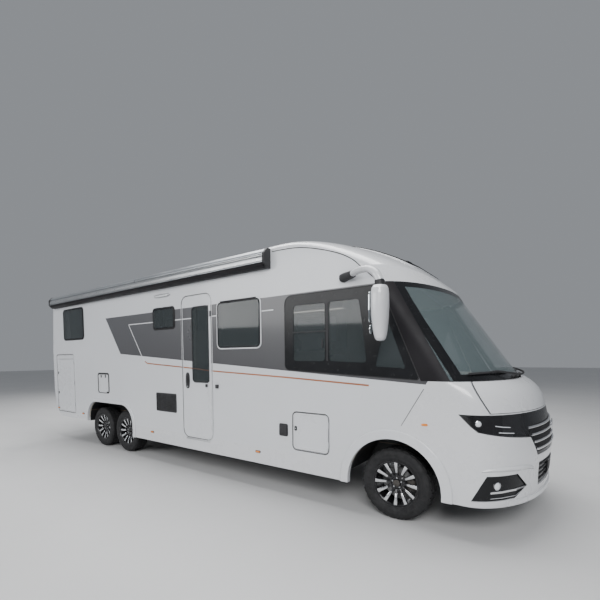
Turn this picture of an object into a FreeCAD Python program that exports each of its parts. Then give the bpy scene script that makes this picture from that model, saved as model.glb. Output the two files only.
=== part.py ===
"""Tandem-axle integrated motorhome, one STEP file for each sub-part.

Millimetres, +X forward, +Y left, +Z up. The vehicle is drawn with X = 0 at the front axle
and Z = 0 on the ground. save() then moves every piece by ORIGIN_SHIFT, so that the row's
origin is the bottom centre of the overall box.
"""
import FreeCAD
import Part
import math
import os

V = FreeCAD.Vector

# ---- overall sizes
LENGTH = 8700.0
FRONT_OVERHANG = 1238.0
HALF_WIDTH = 1160.0
ROOF_Z = 2872.0
SKIRT_Z = 311.0
TAIL_SKIRT_Z = 440.0     # bottom edge behind the tandem axles
CREASE_Z = 513.0
WALL = 35.0
ROOF_EDGE_R = 75.0
REAR_CORNER_R = 110.0
ORIGIN_SHIFT = LENGTH / 2 - FRONT_OVERHANG
REAR_X = FRONT_OVERHANG - LENGTH

# ---- running gear
TYRE_R = 351.0
TYRE_WIDTH = 225.0
RIM_R = TYRE_R - 118.0
RIM_EDGE = 18.0          # height of the rim's flanges
RIM_WALL = 9.0
RIM_DEPTH_EASE = 22.0    # the rim is narrower than the tyre by this on each side
WHEEL_Y = HALF_WIDTH - 190.0
HUB_FACE = 45.0          # outward from the wheel's centre plane
HUB_FLANGE = 14.0
HUB_BORE_R = 32.0
HUB_FIT = 0.08
HUB_R = 62.0
SPOKES = 12
WHEELBASE = 4800.0
TANDEM_SPACING = 2 * TYRE_R + 83.0
KINGPIN_Y = WHEEL_Y - 75.0
KINGPIN_R = 15.0
AXLE_XS = {"front": 0.0, "middle": -WHEELBASE, "rear": -WHEELBASE - TANDEM_SPACING}

# ---- wheel arches
FRONT_ARCH_R = TYRE_R + 113.0
REAR_ARCH_REACH = TYRE_R + 19.0      # ahead of and behind the tandem axles
REAR_ARCH_TOP = 2 * TYRE_R + 120.0
REAR_ARCH_CORNER = 330.0
FLARE = 20.0             # how far an arch lip stands out of the wall
FLARE_WIDTH = {"front": 92.0, "rear": 60.0}
ARCH_DEPTH = {"front": 540.0, "rear": 340.0}
LINER = 8.0
LINER_BOTTOM = TYRE_R + 85.0
PART_GAP = 1.0           # between separate pieces of one node

# ---- floor and cab
FLOOR_Z = TYRE_R + 289.0
FLOOR_THICK = 50.0
STEP_WELL_Y = -700.0
FIREWALL_X = -60.0
FIREWALL_TOP = 1225.0
COWL_Z = 1375.0
GLASS_BASE_X = 940.0
GLASS_TOP_X = 287.0
GLASS_TOP_Z = 2315.0
GLASS = 6.0
GLASS_INSET = 4.0
INSERT_THICK = 24.0      # lamps and grille let into the mask
LOW_INSERT_INSET = 16.0
LOW_INSERT_THICK = 12.0
GAP = 6.0                # gap round doors and lids
BONNET_Z = 1108.0
LAMP_Z = 1100.0

# ---- doors and lids: x from, x to, z from, z to, corner radius
ENTRANCE = (-3118.0, -2497.0, 480.0, 2463.0, 110.0)
GARAGE = (REAR_X + 252.0, REAR_X + 1002.0, 545.0, 1690.0, 45.0)
SERVICE = (-1166.0, -698.0, 560.0, 983.0, 45.0)
CASSETTE = (-5530.0, -5180.0, 1010.0, 1330.0, 25.0)
HINGE_STANDOFF = 14.0
HINGE_R = 8.0
HINGE_LENGTH = 70.0
HINGE_LEAF = 26.0
HINGE_STRAP = 3.0        # half the strap's thickness
DOOR_PANE = (-2885.0, -2560.0, 1277.0, 2290.0, 45.0)

# ---- windows of the living area
REAR_PANE = (REAR_X + 632.0, REAR_X + 1442.0, 1980.0, 2560.0, 60.0)
KITCHEN_PANE = (-2375.0, -1637.0, 1725.0, 2313.0, 60.0)
WASHROOM_PANE = (-3790.0, -3285.0, 2040.0, 2340.0, 40.0)
DINETTE_PANE = (-2900.0, -1700.0, 1725.0, 2313.0, 60.0)
PANE_THICK = 22.0
PANE_PROUD = 12.0
PANE_EASE = 3.0
CAB_WINDOW = ((-1275.0, 1456.0), (262.0, 1380.0), (-122.0, 2290.0), (-1275.0, 2290.0))
CAB_WINDOW_RADII = (60.0, 20.0, 20.0, 90.0)
PILLAR = ((268.0, COWL_Z), (515.0, COWL_Z), (-22.0, GLASS_TOP_Z), (-134.0, GLASS_TOP_Z))

# ---- shape of the nose: height, furthest point forward
NOSE = ((150.0, 1150.0), (SKIRT_Z, 1196.0), (430.0, 1218.0), (600.0, 1228.0), (745.0, FRONT_OVERHANG),
        (900.0, 1219.0), (1080.0, 1182.0), (1200.0, 1146.0), (1300.0, 1082.0), (COWL_Z, 985.0))
NOSE_SWEEP = 550.0       # how far the wrap-round front falls back to the sides
TOP_SWEEP = 470.0
REAR_PROFILE = ((150.0, REAR_X + 442.0), (SKIRT_Z, REAR_X + 422.0), (430.0, REAR_X + 362.0),
                (565.0, REAR_X + 57.0), (1000.0, REAR_X), (1800.0, REAR_X), (2790.0, REAR_X + 90.0),
                (3100.0, REAR_X + 150.0))
# roof over the cab: x, height, then how far in and how far down its rounded edge runs
ROOF_LINE = ((-2300.0, ROOF_Z, ROOF_EDGE_R, ROOF_EDGE_R), (-1750.0, 2893.0, 110.0, 78.0),
             (-1250.0, 2925.0, 260.0, 95.0), (-900.0, 2898.0, 480.0, 130.0), (-560.0, 2812.0, 690.0, 180.0),
             (-200.0, 2668.0, 850.0, 232.0), (50.0, 2520.0, 900.0, 250.0),
             (GLASS_TOP_X, GLASS_TOP_Z, 900.0, 250.0))
SIDE_SEAM = ((-1450.0, 2815.0), (-1055.0, 2792.0), (-677.0, 2690.0), (-447.0, 2585.0), (-284.0, 2442.0),
             (-134.0, GLASS_TOP_Z))

# ---- roof windows: x from, x to, half width
SKYLIGHTS = ((REAR_X + 962.0, REAR_X + 1662.0, 250.0), (-4300.0, -3900.0, 200.0), (-3050.0, -2350.0, 250.0))
DOME_LIP = 25.0
DOME_HEIGHT = 45.0
SKY_PANE = (-880.0, -60.0, 560.0)
SKY_PANE_THICK = 12.0

# ---- fittings outside
AWNING = (REAR_X + 262.0, -1470.0, 2625.0, 2850.0)
AWNING_DEPTH = 118.0
TAIL_LAMP = (HALF_WIDTH - 205.0, HALF_WIDTH - 85.0, 800.0, 1330.0)   # y from, y to, z from, z to
MIRROR_HALF_SPAN = HALF_WIDTH + 345.0
MIRROR_HEAD = (-95.0, 45.0, 1735.0, 2230.0)
MIRROR_HEAD_WIDTH = 215.0
MIRROR_ARM_R = 28.0
MIRROR_FOOT = (-545.0, -375.0, 2350.0, 2440.0)
MIRROR_FOOT_DEPTH = 30.0

# ---- chassis and mounts
RAIL_Y = 430.0
RAIL_WIDTH = 60.0
RAIL_HEIGHT = 180.0
RAIL_X = (REAR_X + 562.0, -520.0)
CROSS_MEMBER = 60.0
HORN_X = 960.0           # front end of the rails
TOW_PLATE_X = RAIL_X[0] + 120.0
TOW_PLATE = 10.0
TOW_BOLT_R = 6.5
TOW_PITCH_X = 120.0
ENGINE = (70.0, 760.0, -380.0, 300.0, 420.0, 1010.0)
TANK_REACH = 350.0
TANK_Z = (330.0, 575.0)
FRESH_TANK_X = (AXLE_XS["middle"] + 900.0, AXLE_XS["middle"] + 1650.0)
WASTE_TANK_X = (AXLE_XS["middle"] + 1950.0, AXLE_XS["middle"] + 2850.0)

# ---- cab and living area; heights marked "above" are above the floor
WHEEL_CENTRE = (-520.0, 560.0, 1330.0)
COLUMN_TILT = 32.0       # degrees from level, rising to the rear
SHAFT_R = 20.0
STEERING_R = 205.0
SEAT_X = -1180.0
SEAT_Y = 560.0
KITCHEN = (-2440.0, -1680.0)
KITCHEN_TOP = 910.0      # above
AISLE_Y = -560.0
BENCH = (-2900.0, -1750.0)
BENCH_BASE = 330.0       # above
BENCH_PAD = 120.0
BENCH_BACK = 850.0       # above
TABLE = (-2480.0, -1600.0, -180.0, 520.0)
TABLE_TOP = 725.0        # above
TABLE_THICK = 35.0
TALL_CUPBOARD = (-3760.0, -3160.0)
SCREEN_X = AXLE_XS["middle"] + 60.0
SCREEN_THICK = 30.0
SCREEN_Y = 320.0
BED = (REAR_X + 132.0, REAR_X + 2212.0)
BED_Z = 1715.0
BED_THICK = 30.0
MATTRESS = (REAR_X + 162.0, REAR_X + 2162.0)
MATTRESS_TOP = 1880.0
GARAGE_WALL_X = REAR_X + 1222.0

FAR = 3000.0             # past either side, the nose and the roof
BACK = REAR_X - 1000.0   # past the tail

OUT = "parts"
os.makedirs(OUT, exist_ok=True)


def save(name, *shapes):
    """Write one node, moved to the row's origin, as separate closed solids."""
    solids = [solid for shape in shapes for solid in shape.Solids]
    piece = solids[0] if len(solids) == 1 else Part.makeCompound(solids)
    piece = piece.copy()
    piece.translate(V(ORIGIN_SHIFT, 0, 0))
    piece.exportStep(f"{OUT}/{name}.step")
    box = piece.BoundBox
    print(f"{name:24s} solids {len(solids):2d}  volume {piece.Volume / 1e9:8.4f} m3  valid {piece.isValid()}"
          f"  x {box.XMin:7.0f} {box.XMax:7.0f}  y {box.YMin:6.0f} {box.YMax:6.0f}"
          f"  z {box.ZMin:5.0f} {box.ZMax:5.0f}")
    return piece


# ---- drawing helpers
def block(x0, x1, y0, y1, z0, z1):
    return Part.makeBox(x1 - x0, y1 - y0, z1 - z0, V(x0, y0, z0))


def rod(radius, length, start, axis):
    return Part.makeCylinder(radius, length, start, axis)


def mirrored(shape):
    return shape.mirror(V(0, 0, 0), V(0, 1, 0))


def outline(points, radii, y=0.0):
    """A closed wire in the XZ plane whose corners are rounded with true arcs."""
    count = len(points)
    if not isinstance(radii, (list, tuple)):
        radii = [radii] * count
    corners = []
    for i, radius in enumerate(radii):
        here = V(points[i][0], y, points[i][1])
        before = V(points[i - 1][0], y, points[i - 1][1]) - here
        after = V(points[(i + 1) % count][0], y, points[(i + 1) % count][1]) - here
        if radius <= 0:
            corners.append((here, here, None))
            continue
        half = before.getAngle(after) / 2
        reach = radius / math.tan(half)
        middle = (before.normalize() + after.normalize()).normalize() * (radius / math.sin(half) - radius)
        corners.append((here + before * reach, here + after * reach, here + middle))
    edges = []
    for i, (start, end, middle) in enumerate(corners):
        if middle is not None:
            edges.append(Part.Arc(start, middle, end).toShape())
        following = corners[(i + 1) % count][0]
        if end.distanceToPoint(following) > 1e-6:
            edges.append(Part.LineSegment(end, following).toShape())
    return Part.Wire(edges)


def panel(points, radii, y0, y1):
    """An outline in the XZ plane, pushed from y0 to y1."""
    return Part.Face(outline(points, radii, y0)).extrude(V(0, y1 - y0, 0))


def corners_of(size, grow=0.0):
    x0, x1, z0, z1 = size[:4]
    return ((x0 - grow, z0 - grow), (x1 + grow, z0 - grow), (x1 + grow, z1 + grow), (x0 - grow, z1 + grow))


def rounded(size, y0, y1, grow=0.0):
    """A rounded rectangle (x0, x1, z0, z1, radius), pushed from y0 to y1."""
    return panel(corners_of(size, grow), size[4] + grow, y0, y1)


def through(points, radii=0.0):
    """A tool that cuts an outline out of both sides."""
    return panel(points, radii, -2 * HALF_WIDTH, 2 * HALF_WIDTH)


# ---- the moulded body, as one closed form that can be drawn at any inset
def front_section(z, nose, sweep, inset):
    """Level cut through the front: straight sides that run into half an ellipse."""
    half = HALF_WIDTH - inset
    start = nose - sweep
    back = REAR_X - 500
    ellipse = Part.Ellipse(V(start, -half, z), V(nose - inset, 0, z), V(start, 0, z))
    return Part.Wire([
        Part.LineSegment(V(back, -half, z), V(start, -half, z)).toShape(),
        Part.ArcOfEllipse(ellipse, 0, math.pi).toShape(),
        Part.LineSegment(V(start, half, z), V(back, half, z)).toShape(),
        Part.LineSegment(V(back, half, z), V(back, -half, z)).toShape()])


def glass_x(z):
    """Furthest point forward of the windscreen's plane at a height."""
    return GLASS_BASE_X + (GLASS_TOP_X - GLASS_BASE_X) * (z - COWL_Z) / (GLASS_TOP_Z - COWL_Z)


def front_form(inset):
    lower = Part.makeLoft([front_section(z, x, NOSE_SWEEP, inset) for z, x in NOSE], True, False)
    top_z = ROOF_Z + 300
    top_sweep = NOSE_SWEEP + (TOP_SWEEP - NOSE_SWEEP) * (top_z - COWL_Z) / (GLASS_TOP_Z - COWL_Z)
    upper = Part.makeLoft([front_section(COWL_Z, GLASS_BASE_X, NOSE_SWEEP, inset),
                           front_section(top_z, glass_x(top_z), top_sweep, inset)], True, True)
    return lower.fuse(upper)


def rear_section(z, x, inset):
    """Level cut through the tail, with its two upright corners rounded."""
    half = HALF_WIDTH - inset
    radius = REAR_CORNER_R - inset
    back = x + inset
    nose = FRONT_OVERHANG + 500
    slant = radius * (1 - math.sqrt(0.5))
    return Part.Wire([
        Part.LineSegment(V(nose, half, z), V(back + radius, half, z)).toShape(),
        Part.Arc(V(back + radius, half, z), V(back + slant, half - slant, z), V(back, half - radius,
                z)).toShape(),
        Part.LineSegment(V(back, half - radius, z), V(back, radius - half, z)).toShape(),
        Part.Arc(V(back, radius - half, z), V(back + slant, slant - half, z), V(back + radius, -half,
                z)).toShape(),
        Part.LineSegment(V(back + radius, -half, z), V(nose, -half, z)).toShape(),
        Part.LineSegment(V(nose, -half, z), V(nose, half, z)).toShape()])


def rear_form(inset):
    return Part.makeLoft([rear_section(z, x, inset) for z, x in REAR_PROFILE], True, True)


def roof_section(x, top, across, down, inset):
    """Upright cut across the vehicle, with its two top corners rounded as quarter ellipses."""
    half = HALF_WIDTH - inset
    top = top - inset
    across = across - inset
    down = down - inset
    bottom = -900.0
    edges = []
    for side in (-1, 1):
        centre = V(x, side * (half - across), top - down)
        flank = V(x, side * half, top - down)
        crest = V(x, side * (half - across), top)
        if abs(across - down) < 1e-6:
            slant = across * math.sqrt(0.5)
            middle = centre + V(0, side * slant, slant)
            edges.append(Part.Arc(flank, middle, crest).toShape())
        else:
            edges.append(Part.ArcOfEllipse(Part.Ellipse(flank, crest, centre), 0, math.pi / 2).toShape())
        edges.append(Part.LineSegment(V(x, side * half, bottom), flank).toShape())
    edges.append(Part.LineSegment(V(x, across - half, top), V(x, half - across, top)).toShape())
    edges.append(Part.LineSegment(V(x, half, bottom), V(x, -half, bottom)).toShape())
    return Part.Wire(Part.__sortEdges__(edges))


def roof_form(inset):
    start_x = ROOF_LINE[0][0]
    straight = Part.Face(roof_section(REAR_X - 200, ROOF_Z, ROOF_EDGE_R, ROOF_EDGE_R, inset)).extrude(
        V(start_x - REAR_X + 200, 0, 0))
    curved = Part.makeLoft([roof_section(*station, inset) for station in ROOF_LINE], True, False)
    last_x, last_z, across, down = ROOF_LINE[-1]
    reach = FRONT_OVERHANG + 300 - last_x
    brow = Part.makeLoft([roof_section(last_x, last_z, across, down, inset),
                          roof_section(last_x + reach, last_z - 0.8 * reach, across, down, inset)],
                         True, True)
    return straight.fuse(curved).fuse(brow)


FORMS = {}


def body_form(inset):
    """The whole body, inset below its outer surface; each inset is worked out once."""
    if inset not in FORMS:
        form = roof_form(inset).common(front_form(inset)).common(rear_form(inset))
        FORMS[inset] = form.removeSplitter()
    return FORMS[inset]


OUTSIDE = body_form(0.0)
INSIDE = body_form(WALL)
BELOW = block(BACK, FAR, -FAR, FAR, 0, SKIRT_Z).fuse(
    block(BACK, AXLE_XS["rear"], -FAR, FAR, 0, TAIL_SKIRT_Z))
SHELL = OUTSIDE.cut(INSIDE).cut(BELOW)


def skin(inset, thick, region):
    """A curved sheet that lies inset below the outer surface, within a region."""
    outer = body_form(inset).common(region)
    return outer.cut(body_form(inset + thick))


# ---- the lines where the body's panels meet, as tools that cover both sides
def arch_tool(place, grow=0.0):
    """The opening of a wheel arch, down past the skirt, across both sides."""
    if place == "front":
        radius = FRONT_ARCH_R + grow
        ring = rod(radius, 4 * HALF_WIDTH, V(0, -2 * HALF_WIDTH, TYRE_R), V(0, 1, 0))
        return ring.fuse(block(-radius, radius, -2 * HALF_WIDTH, 2 * HALF_WIDTH, 0, TYRE_R))
    x0 = AXLE_XS["rear"] - REAR_ARCH_REACH - grow
    x1 = AXLE_XS["middle"] + REAR_ARCH_REACH + grow
    top = REAR_ARCH_TOP + grow
    return through(((x0, 0), (x1, 0), (x1, top), (x0, top)), (0, 0, REAR_ARCH_CORNER + grow,
                                                              REAR_ARCH_CORNER + grow))


def side_band(inner, outer):
    """Both sides of the vehicle between two distances from the middle."""
    right = block(BACK, FAR, -outer, -inner, 0, 2 * ROOF_Z)
    return right.fuse(mirrored(right))


MASK_LINE = ((330.0, COWL_Z), (80.0, 950.0), (80.0, SKIRT_Z - 100))
MASK_AREA = through(MASK_LINE + ((FAR, SKIRT_Z - 100), (FAR, COWL_Z)))
PILLAR_AREA = through(PILLAR)
AHEAD_OF_PILLAR = through((PILLAR[1], (FAR, COWL_Z), (FAR, GLASS_TOP_Z), PILLAR[2]))
CAP_AREA = through(SIDE_SEAM + ((FAR, GLASS_TOP_Z), (FAR, 4000), (SIDE_SEAM[0][0], 4000)))
ROOF_AREA = block(BACK, SIDE_SEAM[0][0], -FAR, FAR, ROOF_Z - ROOF_EDGE_R, 4000)
TAIL_X = REAR_X + REAR_CORNER_R + 92
TAIL_TUCK_X = REAR_X + 417.0
TAIL_AREA = block(BACK, TAIL_X, -FAR, FAR, CREASE_Z, ROOF_Z - ROOF_EDGE_R).fuse(
    block(BACK, TAIL_TUCK_X, -FAR, FAR, 0, CREASE_Z))
SKIRT_AREA = block(TAIL_TUCK_X, FAR, -FAR, FAR, 0, CREASE_Z).cut(MASK_AREA)
BONNET_LINE = ((661.0, COWL_Z), (822.0, BONNET_Z))
LAMP_AREA = ((588.0, LAMP_Z), (685.0, 1002.0), (745.0, 954.0), (865.0, 930.0), (1300.0, 850.0), (1300.0,
        LAMP_Z))
GRILLE_FRONT = ((-758.0, LAMP_Z), (-788.0, 985.0), (-640.0, 716.0), (640.0, 716.0), (788.0, 985.0), (758.0,
        LAMP_Z))
FOG_AREA = ((700.0, 362.0), (815.0, 588.0), (1022.0, 594.0), (1080.0, 472.0), (1000.0, 380.0))
INTAKE_FRONT = ((-585.0, 645.0), (-560.0, 425.0), (560.0, 425.0), (585.0, 645.0))


def front_tool(points):
    """An outline in the YZ plane, pushed forward through the nose."""
    wire = Part.makePolygon([V(700, y, z) for y, z in points] + [V(700, *points[0])])
    return Part.Face(wire).extrude(V(900, 0, 0))


GRILLE_TOOL = front_tool(GRILLE_FRONT)
INTAKE_TOOL = front_tool(INTAKE_FRONT)
ABOVE_GRILLE = block(700, 1600, GRILLE_FRONT[0][0], -GRILLE_FRONT[0][0], LAMP_Z - 1, LAMP_Z + 100)
LAMP_TOOL = through(LAMP_AREA).cut(GRILLE_TOOL.fuse(ABOVE_GRILLE))
FOG_TOOL = through(FOG_AREA)
BONNET_TOOL = through(BONNET_LINE + ((FAR, BONNET_Z), (FAR, COWL_Z + 30), (BONNET_LINE[0][0], COWL_Z + 30)))
ARCHES = arch_tool("front").fuse(arch_tool("rear"))


# ---- side walls, tail, roof and skirts
def flare(place):
    """The lip round a wheel arch on both sides, standing out of the wall with eased edges."""
    lip = arch_tool(place, FLARE_WIDTH[place]).common(side_band(HALF_WIDTH, HALF_WIDTH + FLARE))
    lip = lip.cut(BELOW)
    outer = [edge for edge in lip.Edges
             if all(abs(abs(v.Y) - HALF_WIDTH - FLARE) < 0.01 for v in edge.Vertexes)
             and edge.BoundBox.ZMax > SKIRT_Z + 1]
    lip = lip.makeFillet(FLARE * 0.8, outer)
    return lip.cut(arch_tool(place))


FRONT_FLARE = flare("front")
REAR_FLARE = flare("rear")


def wall_panel():
    """Both side walls with every opening cut: doors and lids on the right, or on both sides."""
    wall = SHELL.cut(MASK_AREA).cut(PILLAR_AREA).cut(AHEAD_OF_PILLAR).cut(CAP_AREA)
    wall = wall.cut(ROOF_AREA).cut(TAIL_AREA).cut(SKIRT_AREA)
    wall = wall.common(block(BACK, 900, -FAR, FAR, CREASE_Z, 4000))
    wall = wall.fuse(FRONT_FLARE.cut(MASK_AREA).common(block(-FAR, FAR, -FAR, FAR, CREASE_Z, FAR)))
    wall = wall.fuse(REAR_FLARE.common(block(BACK, 0, -FAR, FAR, CREASE_Z, FAR)))
    return wall.cut(ARCHES).cut(panel(CAB_WINDOW, CAB_WINDOW_RADII, -FAR, FAR))


def half(shape, side):
    """The right (-1) or left (+1) half of a shape."""
    lo, hi = (-FAR, 0) if side < 0 else (0, FAR)
    return shape.common(block(BACK, FAR, lo, hi, 0, 4000))


def side_walls():
    both = wall_panel()
    right = half(both, -1)
    for size in (ENTRANCE, GARAGE, SERVICE, CASSETTE, REAR_PANE, KITCHEN_PANE, WASHROOM_PANE):
        right = right.cut(rounded(size, -FAR, 0))
    left = half(both, 1)
    for size in (GARAGE, REAR_PANE, DINETTE_PANE):
        left = left.cut(rounded(size, 0, FAR))
    save("side_wall_right", right)
    save("side_wall_left", left)


def skirts():
    skirt = SHELL.common(SKIRT_AREA).cut(rounded(ENTRANCE, -FAR, 0)).cut(rounded(GARAGE, -FAR, FAR))
    low = block(BACK, FAR, -FAR, FAR, 0, CREASE_Z)
    skirt = skirt.fuse(FRONT_FLARE.cut(MASK_AREA).common(low)).fuse(REAR_FLARE.common(low)).cut(ARCHES)
    save("side_skirts", skirt)


def tail_and_roof():
    tail = SHELL.common(TAIL_AREA).cut(rounded(GARAGE, -FAR, FAR))
    save("rear_panel", tail.cut(tail_lamp_tool()))
    roof = SHELL.common(ROOF_AREA)
    for x0, x1, reach in SKYLIGHTS:
        roof = roof.cut(block(x0, x1, -reach, reach, ROOF_Z - 2 * WALL, ROOF_Z + WALL))
    save("roof", roof)
    save("roof_cap", SHELL.common(CAP_AREA).cut(sky_tool()))


# ---- roof windows
def sky_tool():
    """The opening of the large forward roof window."""
    x0, x1, reach = SKY_PANE
    return block(x0, x1, -reach, reach, GLASS_TOP_Z, 4000)


def roof_curve(inset):
    """The roof's line over the cab in side view, as one smooth curve."""
    curve = Part.BSplineCurve()
    curve.interpolate([V(station[0], -HALF_WIDTH, station[1] - inset) for station in ROOF_LINE])
    return curve


def roof_windows():
    x0, x1, reach = SKY_PANE
    hole = block(x0 + PANE_EASE, x1 - PANE_EASE, PANE_EASE - reach, reach - PANE_EASE, GLASS_TOP_Z, 4000)
    upper = roof_curve(GLASS_INSET)
    lower = roof_curve(GLASS_INSET + SKY_PANE_THICK)
    ends = [Part.LineSegment(upper.StartPoint, lower.StartPoint), Part.LineSegment(upper.EndPoint,
            lower.EndPoint)]
    wire = Part.Wire(Part.__sortEdges__([curve.toShape() for curve in (upper, lower, *ends)]))
    forward = Part.Face(wire).extrude(V(0, 2 * HALF_WIDTH, 0)).common(hole)
    hatches = []
    for x0, x1, reach in SKYLIGHTS:
        inner = reach - PANE_EASE
        outer = reach + DOME_LIP
        plug = block(x0 + PANE_EASE, x1 - PANE_EASE, -inner, inner, ROOF_Z - WALL, ROOF_Z)
        dome = block(x0 - DOME_LIP, x1 + DOME_LIP, -outer, outer, ROOF_Z, ROOF_Z + DOME_HEIGHT)
        dome = dome.makeFillet(40.0, [edge for edge in dome.Edges if edge.BoundBox.ZLength > DOME_HEIGHT / 2])
        dome = dome.makeFillet(14.0,
                               [edge for edge in dome.Edges if edge.BoundBox.ZMin > ROOF_Z + DOME_HEIGHT - 1])
        hatches.append(plug.fuse(dome))
    save("roof_windows", forward, *hatches)


# ---- front mask, bonnet, grille and lamps
def front_end():
    mask = SHELL.common(MASK_AREA).common(block(-FAR, FAR, -FAR, FAR, 0, COWL_Z))
    mask = mask.cut(BONNET_TOOL).cut(GRILLE_TOOL).cut(LAMP_TOOL).cut(FOG_TOOL).cut(INTAKE_TOOL)
    mask = mask.fuse(FRONT_FLARE.common(MASK_AREA)).cut(ARCHES)
    save("front_mask", mask)
    (x0, z0), (x1, z1) = BONNET_LINE
    inner = through(((x0 + GAP + 2, COWL_Z + 10), (x1 + GAP + 2, z1 + GAP), (FAR, z1 + GAP), (FAR,
            COWL_Z + 10)))
    lid = SHELL.common(inner).common(block(0, FAR, -FAR, FAR, 0, COWL_Z))
    save("bonnet", lid)
    grille = skin(GLASS_INSET, INSERT_THICK, GRILLE_TOOL)
    low_area = FOG_TOOL.fuse(INTAKE_TOOL).common(block(0, FAR, -FAR, FAR, SKIRT_Z, BONNET_Z))
    lower = skin(LOW_INSERT_INSET, LOW_INSERT_THICK, low_area)
    save("grille", grille, lower)


def tail_lamp_tool():
    """Two upright lamp pockets in the tail."""
    y0, y1, z0, z1 = TAIL_LAMP
    right = block(BACK, REAR_X + 60, -y1, -y0, z0, z1)
    return right.fuse(mirrored(right))


def lights():
    front = skin(GLASS_INSET, INSERT_THICK, LAMP_TOOL.common(block(560, FAR, -FAR, FAR, 800, LAMP_Z)))
    back = skin(GLASS_INSET, INSERT_THICK, tail_lamp_tool())
    save("lights", front, back)


def glazing():
    glass_region = AHEAD_OF_PILLAR.common(block(-FAR, FAR, -FAR, FAR, COWL_Z + 10, GLASS_TOP_Z))
    save("windscreen", skin(GLASS_INSET, GLASS, glass_region))
    save("a_pillars", SHELL.common(PILLAR_AREA))
    cab = skin(GLASS_INSET, GLASS, panel(CAB_WINDOW, CAB_WINDOW_RADII, -FAR, FAR).cut(PILLAR_AREA))
    y_out = -HALF_WIDTH - PANE_PROUD
    panes = [rounded(size, y_out, y_out + PANE_THICK, -PANE_EASE)
             for size in (REAR_PANE, KITCHEN_PANE, WASHROOM_PANE)]
    panes += [mirrored(rounded(size, y_out, y_out + PANE_THICK, -PANE_EASE)) for size in (REAR_PANE,
            DINETTE_PANE)]
    save("side_windows", cab, *panes)


# ---- doors and lids: the cut piece of wall, smaller by the gap all round
def lid(size, side, gap=GAP):
    y0, y1 = (-HALF_WIDTH, WALL - HALF_WIDTH) if side < 0 else (HALF_WIDTH - WALL, HALF_WIDTH)
    return rounded(size, y0, y1, -gap)


def hinges(size, side, heights):
    """Barrels on the upright hinge line at a lid's forward edge, each on a short leaf."""
    edge = size[1]
    wall = side * HALF_WIDTH
    axis_y = side * (HALF_WIDTH + HINGE_STANDOFF)
    pieces = []
    for z in heights:
        y0, y1 = sorted((wall, axis_y))
        leaf = block(edge - HINGE_LEAF, edge - GAP, y0, y1, z, z + HINGE_LENGTH)
        strap = block(edge - HINGE_LEAF, edge, axis_y - HINGE_STRAP, axis_y + HINGE_STRAP, z,
                      z + HINGE_LENGTH)
        barrel = rod(HINGE_R, HINGE_LENGTH, V(edge, axis_y, z), V(0, 0, 1))
        pieces.append(leaf.fuse(strap).fuse(barrel))
    return pieces


def hung(size, side, heights):
    """A side-hung lid with its hinges."""
    piece = lid(size, side)
    for hinge in hinges(size, side, heights):
        piece = piece.fuse(hinge)
    return piece


def cassette_lid():
    """The bottom-hung lid, with one long barrel on its lower edge."""
    x0, x1, z0 = CASSETTE[:3]
    y = -HALF_WIDTH - HINGE_STANDOFF
    ease = 60.0
    leaf = block(x0 + ease, x1 - ease, y, -HALF_WIDTH, z0 + GAP, z0 + HINGE_LEAF)
    strap = block(x0 + ease, x1 - ease, y - HINGE_STRAP, y + HINGE_STRAP, z0, z0 + HINGE_LEAF)
    barrel = rod(HINGE_R, x1 - x0 - 2 * ease, V(x0 + ease, y, z0), V(1, 0, 0))
    return lid(CASSETTE, -1).fuse(leaf).fuse(strap).fuse(barrel)


def doors():
    save("entrance_door", hung(ENTRANCE, -1, (700.0, 1450.0, 2150.0)).cut(rounded(DOOR_PANE, -FAR, 0)))
    pane = rounded(DOOR_PANE, -HALF_WIDTH - 2, -HALF_WIDTH + 16, -0.5)
    save("entrance_door_window", pane)
    save("garage_door_right", hung(GARAGE, -1, (680.0, 1100.0, 1500.0)))
    save("garage_door_left", hung(GARAGE, 1, (680.0, 1100.0, 1500.0)))
    save("service_hatch", hung(SERVICE, -1, (630.0, 840.0)))
    save("cassette_hatch", cassette_lid())


# ---- floor with its wheel housings and firewall
def housing(place):
    """An open-sided box over the wheels, on both sides."""
    reach = ARCH_DEPTH[place]
    outer = arch_tool(place, LINER).common(side_band(HALF_WIDTH - reach - LINER, HALF_WIDTH - WALL))
    inner = arch_tool(place).common(side_band(HALF_WIDTH - reach, HALF_WIDTH))
    return outer.cut(inner).cut(block(BACK, FAR, -FAR, FAR, 0, LINER_BOTTOM))


def floor():
    """Slab, firewall and wheel housings, a hair apart, so that each keeps its own thin shape."""
    top, bottom = FLOOR_Z, FLOOR_Z - FLOOR_THICK
    front_x = FIREWALL_X + WALL
    slab = INSIDE.common(block(REAR_X, front_x, -FAR, FAR, bottom, top))
    firewall = INSIDE.common(block(FIREWALL_X, front_x, -FAR, FAR, top + PART_GAP, FIREWALL_TOP))
    liners = []
    for place in ("front", "rear"):
        grown = LINER + PART_GAP
        hole = arch_tool(place, grown).common(side_band(HALF_WIDTH - ARCH_DEPTH[place] - grown, FAR))
        slab = slab.cut(hole)
        firewall = firewall.cut(hole)
        liners.append(housing(place))
    slab = slab.cut(rounded(ENTRANCE, -FAR, STEP_WELL_Y))
    save("floor", slab, firewall, *liners)


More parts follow.
